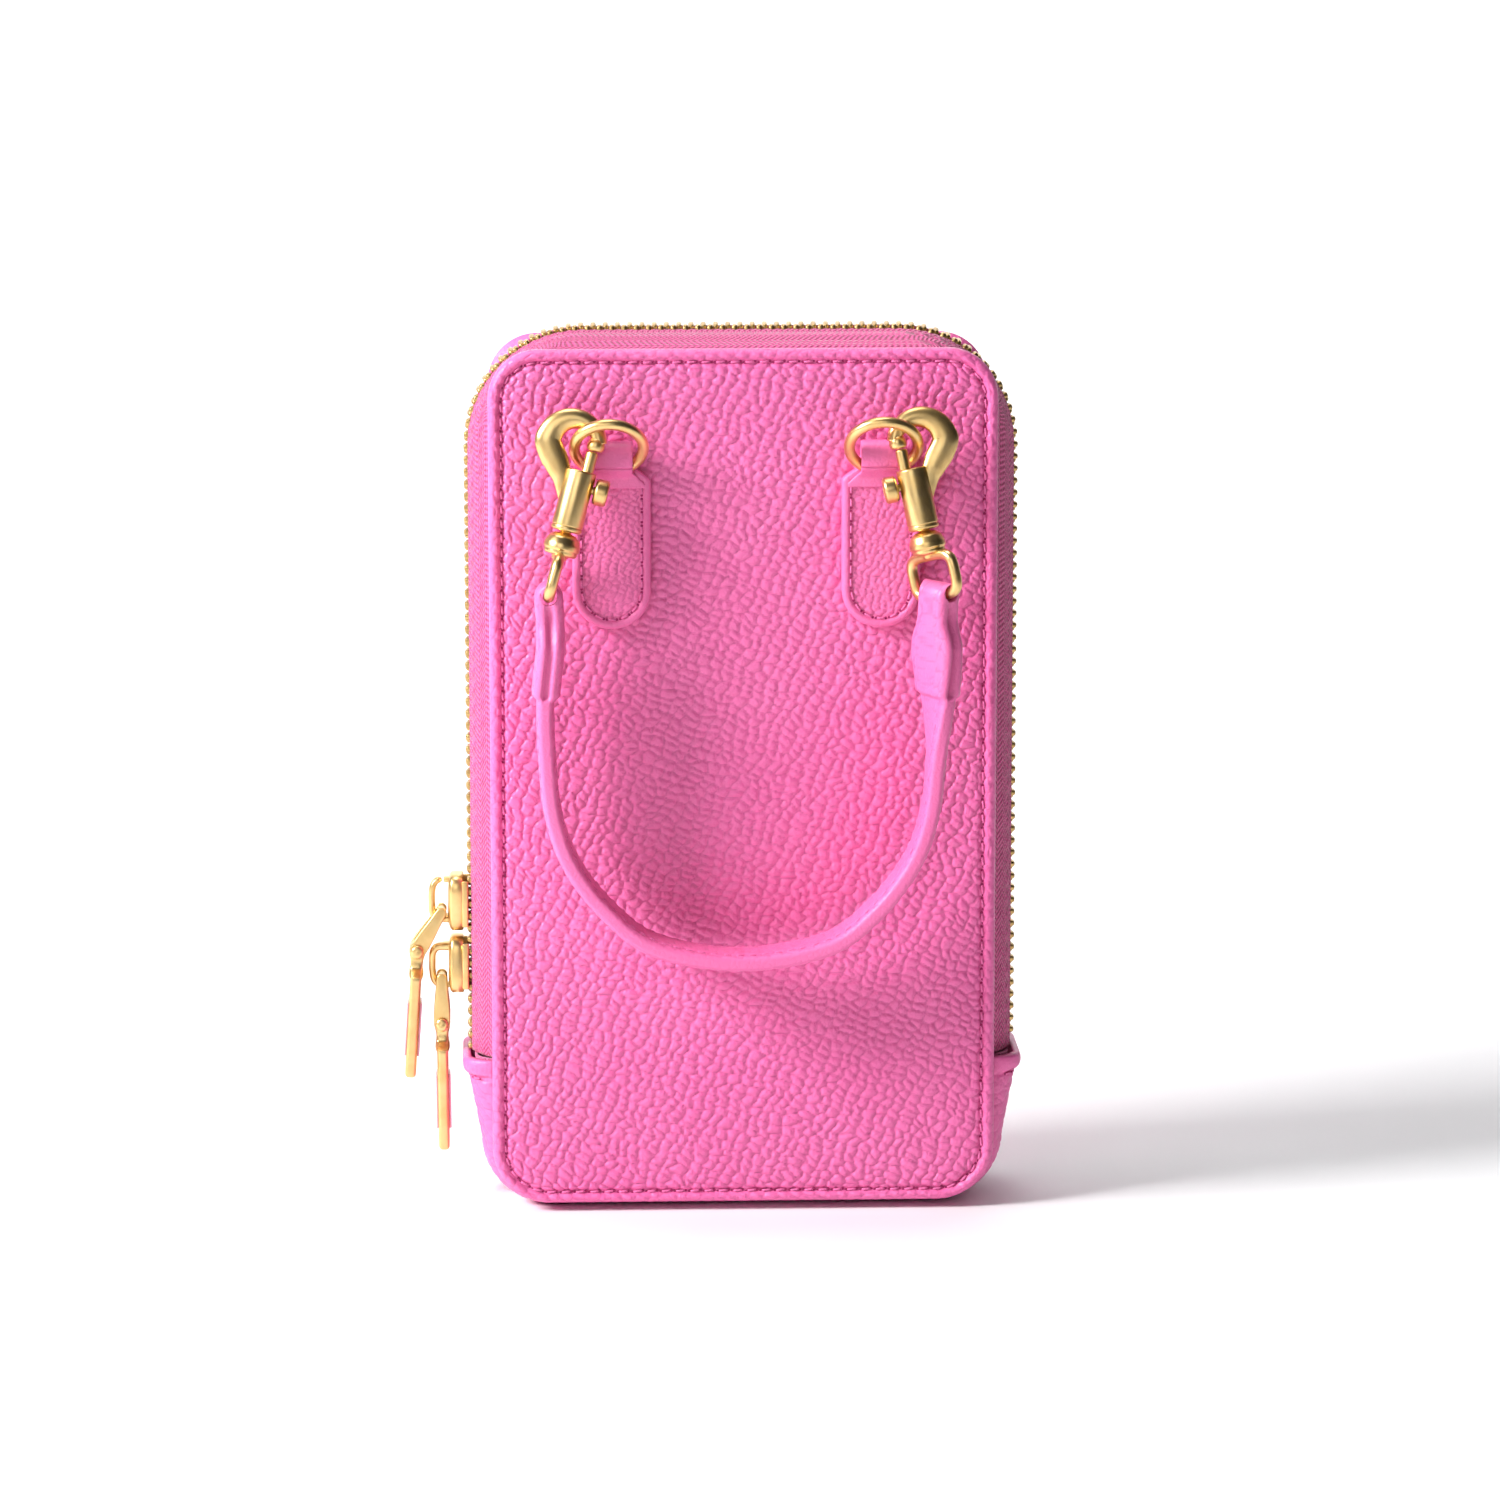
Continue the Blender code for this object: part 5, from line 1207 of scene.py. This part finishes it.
def pull(word):
    """Link with two shaped arms, rivet, pull bar with its neck, and the enamel plates on both faces."""
    link, hang = hang_frame(word, "link"), hang_frame(word, "pull")
    reach = (joint_point(word + "_pull_swing") - joint_point(word + "_link_swing")).length / MM
    lie = Matrix.Rotation(math.radians(90), 4, "X")
    flank = [(1.30, -2.6), (1.62, -5.6), (1.75, -7.8)]
    outline = arc_points(0, 0, 1.15, 15, 165, 12) + [(-a, b) for a, b in flank]
    outline = mm(*outline, *arc_points(0, -reach, 1.72, 182, 358, 16), *flank[::-1])
    parts = [oriented(lens(outline, disc_depths(*mm(a, b), 0.28 * MM)))
             for a, b in ((-3.1, -2.1), (2.1, 3.1))]
    points, faces = revolve(mm((0.85, -2.9), (0.85, 2.9)), 32)
    parts.append(oriented((moved(points, lie), faces)))
    made, faces = merged(parts)
    arms = piece(word + "_link_arms", moved(made, link), faces, GOLD, word + "_link", [word + "_pull_link"],
                 "hardware")
    sharpen(arms, 50)

    # neck and bar in one: rounded rectangles down its length, as (z, half thickness, half width)
    stations = [(1.75, 0.35, 1.75), (1.55, 1.05, 1.8), (0.9, 1.55, 1.8), (0, 1.75, 1.8), (-1.2, 1.6, 1.8),
                (-2.2, 1.35, 1.8), (-3.6, 1.30, 1.8), (-4.2, 1.45, 2.2), (-5.0, 1.55, 3.4), (-5.5, 1.45, 4.1),
                (-5.9, 1.22, 4.2), (-6.4, 1.2, 4.2), (-12, 1.2, 4.2), (-20, 1.2, 4.2), (-26.2, 1.2, 4.2),
                (-26.7, 1.1, 4.1), (-26.95, 0.85, 3.85), (-27.0, 0.6, 3.6)]
    c, s = squash(np.cos(turn(40, 0.5)), 0.45), squash(np.sin(turn(40, 0.5)), 0.28)
    bar = oriented(tube([np.stack([thick * c, wide * s, z + 0 * c], 1) * MM
                         for z, thick, wide in stations]))
    inlay = merged([block((side * 1.15, -3.1, -22.5), (side * 1.62, 3.1, -11.0), 0.22, 3)
                    for side in (-1, 1)])
    rivet = [(0, -4.25), (0.9, -4.2), (1.35, -3.9), (1.45, -3.45), (0.9, -3.42)]
    points, faces = turned(rivet + [(r, -z) for r, z in rivet[::-1]], 0.2, 32)
    rivet = oriented((moved(points, lie), faces))
    for name, (points, faces), mat, angle, node, slot in (
            ("_pull_plate", bar, GOLD, 40, "_pull_bar", "hardware"),
            ("_pull_enamel", inlay, ENAMEL, 50, "_pull_inlay", "inlay"),
            ("_rivet_head", rivet, GOLD, None, "_pull_rivet", "hardware")):
        made = piece(word + name, moved(points, hang), faces, mat, word + "_pull", [word + node], slot)
        if angle:
            sharpen(made, angle)


# ---------------------------------------------------------------- build

panel(-1)
panel(1)
for side in (-1, 1):
    zip_tape(side)
    teeth(side)
gusset("gusset_leather", "lower_gusset", LEATHER, 0.0, 1.3 * MM, True)
gusset("gusset_lining_cloth", "gusset_lining", LINING, 2.2 * MM, 0.7 * MM, False)
lining(-1)
lining(1)
pocket("phone_pocket", -1, LINING)
for card in ("back", "middle", "front"):
    pocket(card + "_card_pocket", 1, LEATHER)
for word in ("left", "right"):
    ring_tab(word)
    ring(word)
bars = [snap_hook(word) for word in ("left", "right")]
strap(*bars)
for word in ("upper", "lower"):
    slider(word)
    pull(word)
for node, mat in (("front_board", BOARD), ("back_board", BOARD), ("left_bolt_spring", STEEL),
                  ("right_bolt_spring", STEEL)):
    kept = frame["nodes"][node].data
    kept.materials.clear()
    kept.materials.append(mat)
    kept.shade_smooth()


# ---------------------------------------------------------------- stage

YAW, RISE = math.radians(2.3), math.radians(10.2)
CAMERA_DISTANCE = 1.30
CAMERA_TARGET = Vector((0.0013, -0.0170, 0.0982))
VIEW_WIDTH = 0.3105  # how wide the frame is at the target


def stage():
    """A white sweep, soft studio lights and the camera."""
    scene = bpy.context.scene
    profile = [(-1.6, 0.0), (0.55, 0.0)]
    profile += [(0.55 + 0.5 * math.sin(a), 0.5 - 0.5 * math.cos(a))
                for a in np.linspace(0.1, math.pi / 2, 16)]
    profile += [(1.05, 2.2)]
    rows = np.array([[(x, y, z) for x in np.linspace(-2.5, 2.5, 6)] for y, z in profile])
    paper = plain("white_paper", (0.93, 0.93, 0.94), 0.7, 40.0, 0.01)
    sweep = piece("sweep", rows, grid_faces(len(profile), 6), paper)

    def add(name, data, place, rotation):
        obj = bpy.data.objects.new(name, data)
        scene.collection.objects.link(obj)
        obj.location, obj.rotation_euler = place, rotation
        return obj

    centre = (CAD_LOW + CAD_HIGH) / 2
    for name, place, size, power in (("key", (-1.0, -0.42, 0.75), 0.40, 26.0),
                                     ("front_fill", (-0.35, -1.5, 0.65), 0.8, 4.0),
                                     ("top", (-0.15, 0.10, 1.3), 0.6, 6.0),
                                     ("backdrop_light", (0.0, 0.35, 1.1), 1.2, 10.0)):
        light = bpy.data.lights.new(name, "AREA")
        light.shape = "RECTANGLE"
        light.size, light.size_y, light.energy = size, size, power
        aim = (centre - Vector(place)).to_track_quat("-Z", "Y").to_euler()
        add(name, light, place, (math.radians(75), 0, 0) if name == "backdrop_light" else aim)

    # the world is darker below than above
    world = bpy.data.worlds.new("studio")
    scene.world = world
    world.use_nodes = True
    coords, split, level = (world.node_tree.nodes.new("ShaderNode" + kind)
                            for kind in ("TexCoord", "SeparateXYZ", "MapRange"))
    feed(split, {0: coords.outputs["Generated"]})
    feed(level, {"Value": split.outputs["Z"], "From Min": -0.3, "From Max": 0.9,
                 "To Min": 0.25, "To Max": 0.62})
    feed(world.node_tree.nodes["Background"], {"Strength": level.outputs["Result"]})

    away = Vector((-math.sin(YAW) * math.cos(RISE), -math.cos(YAW) * math.cos(RISE), math.sin(RISE)))
    camera = bpy.data.cameras.new("camera")
    camera.sensor_width = 36.0
    camera.lens = camera.sensor_width * CAMERA_DISTANCE / VIEW_WIDTH
    facing_it = (-away).to_track_quat("-Z", "Y").to_euler()
    scene.camera = add("camera", camera, CAMERA_TARGET + away * CAMERA_DISTANCE, facing_it)
    scene.view_settings.view_transform = "Standard"


stage()
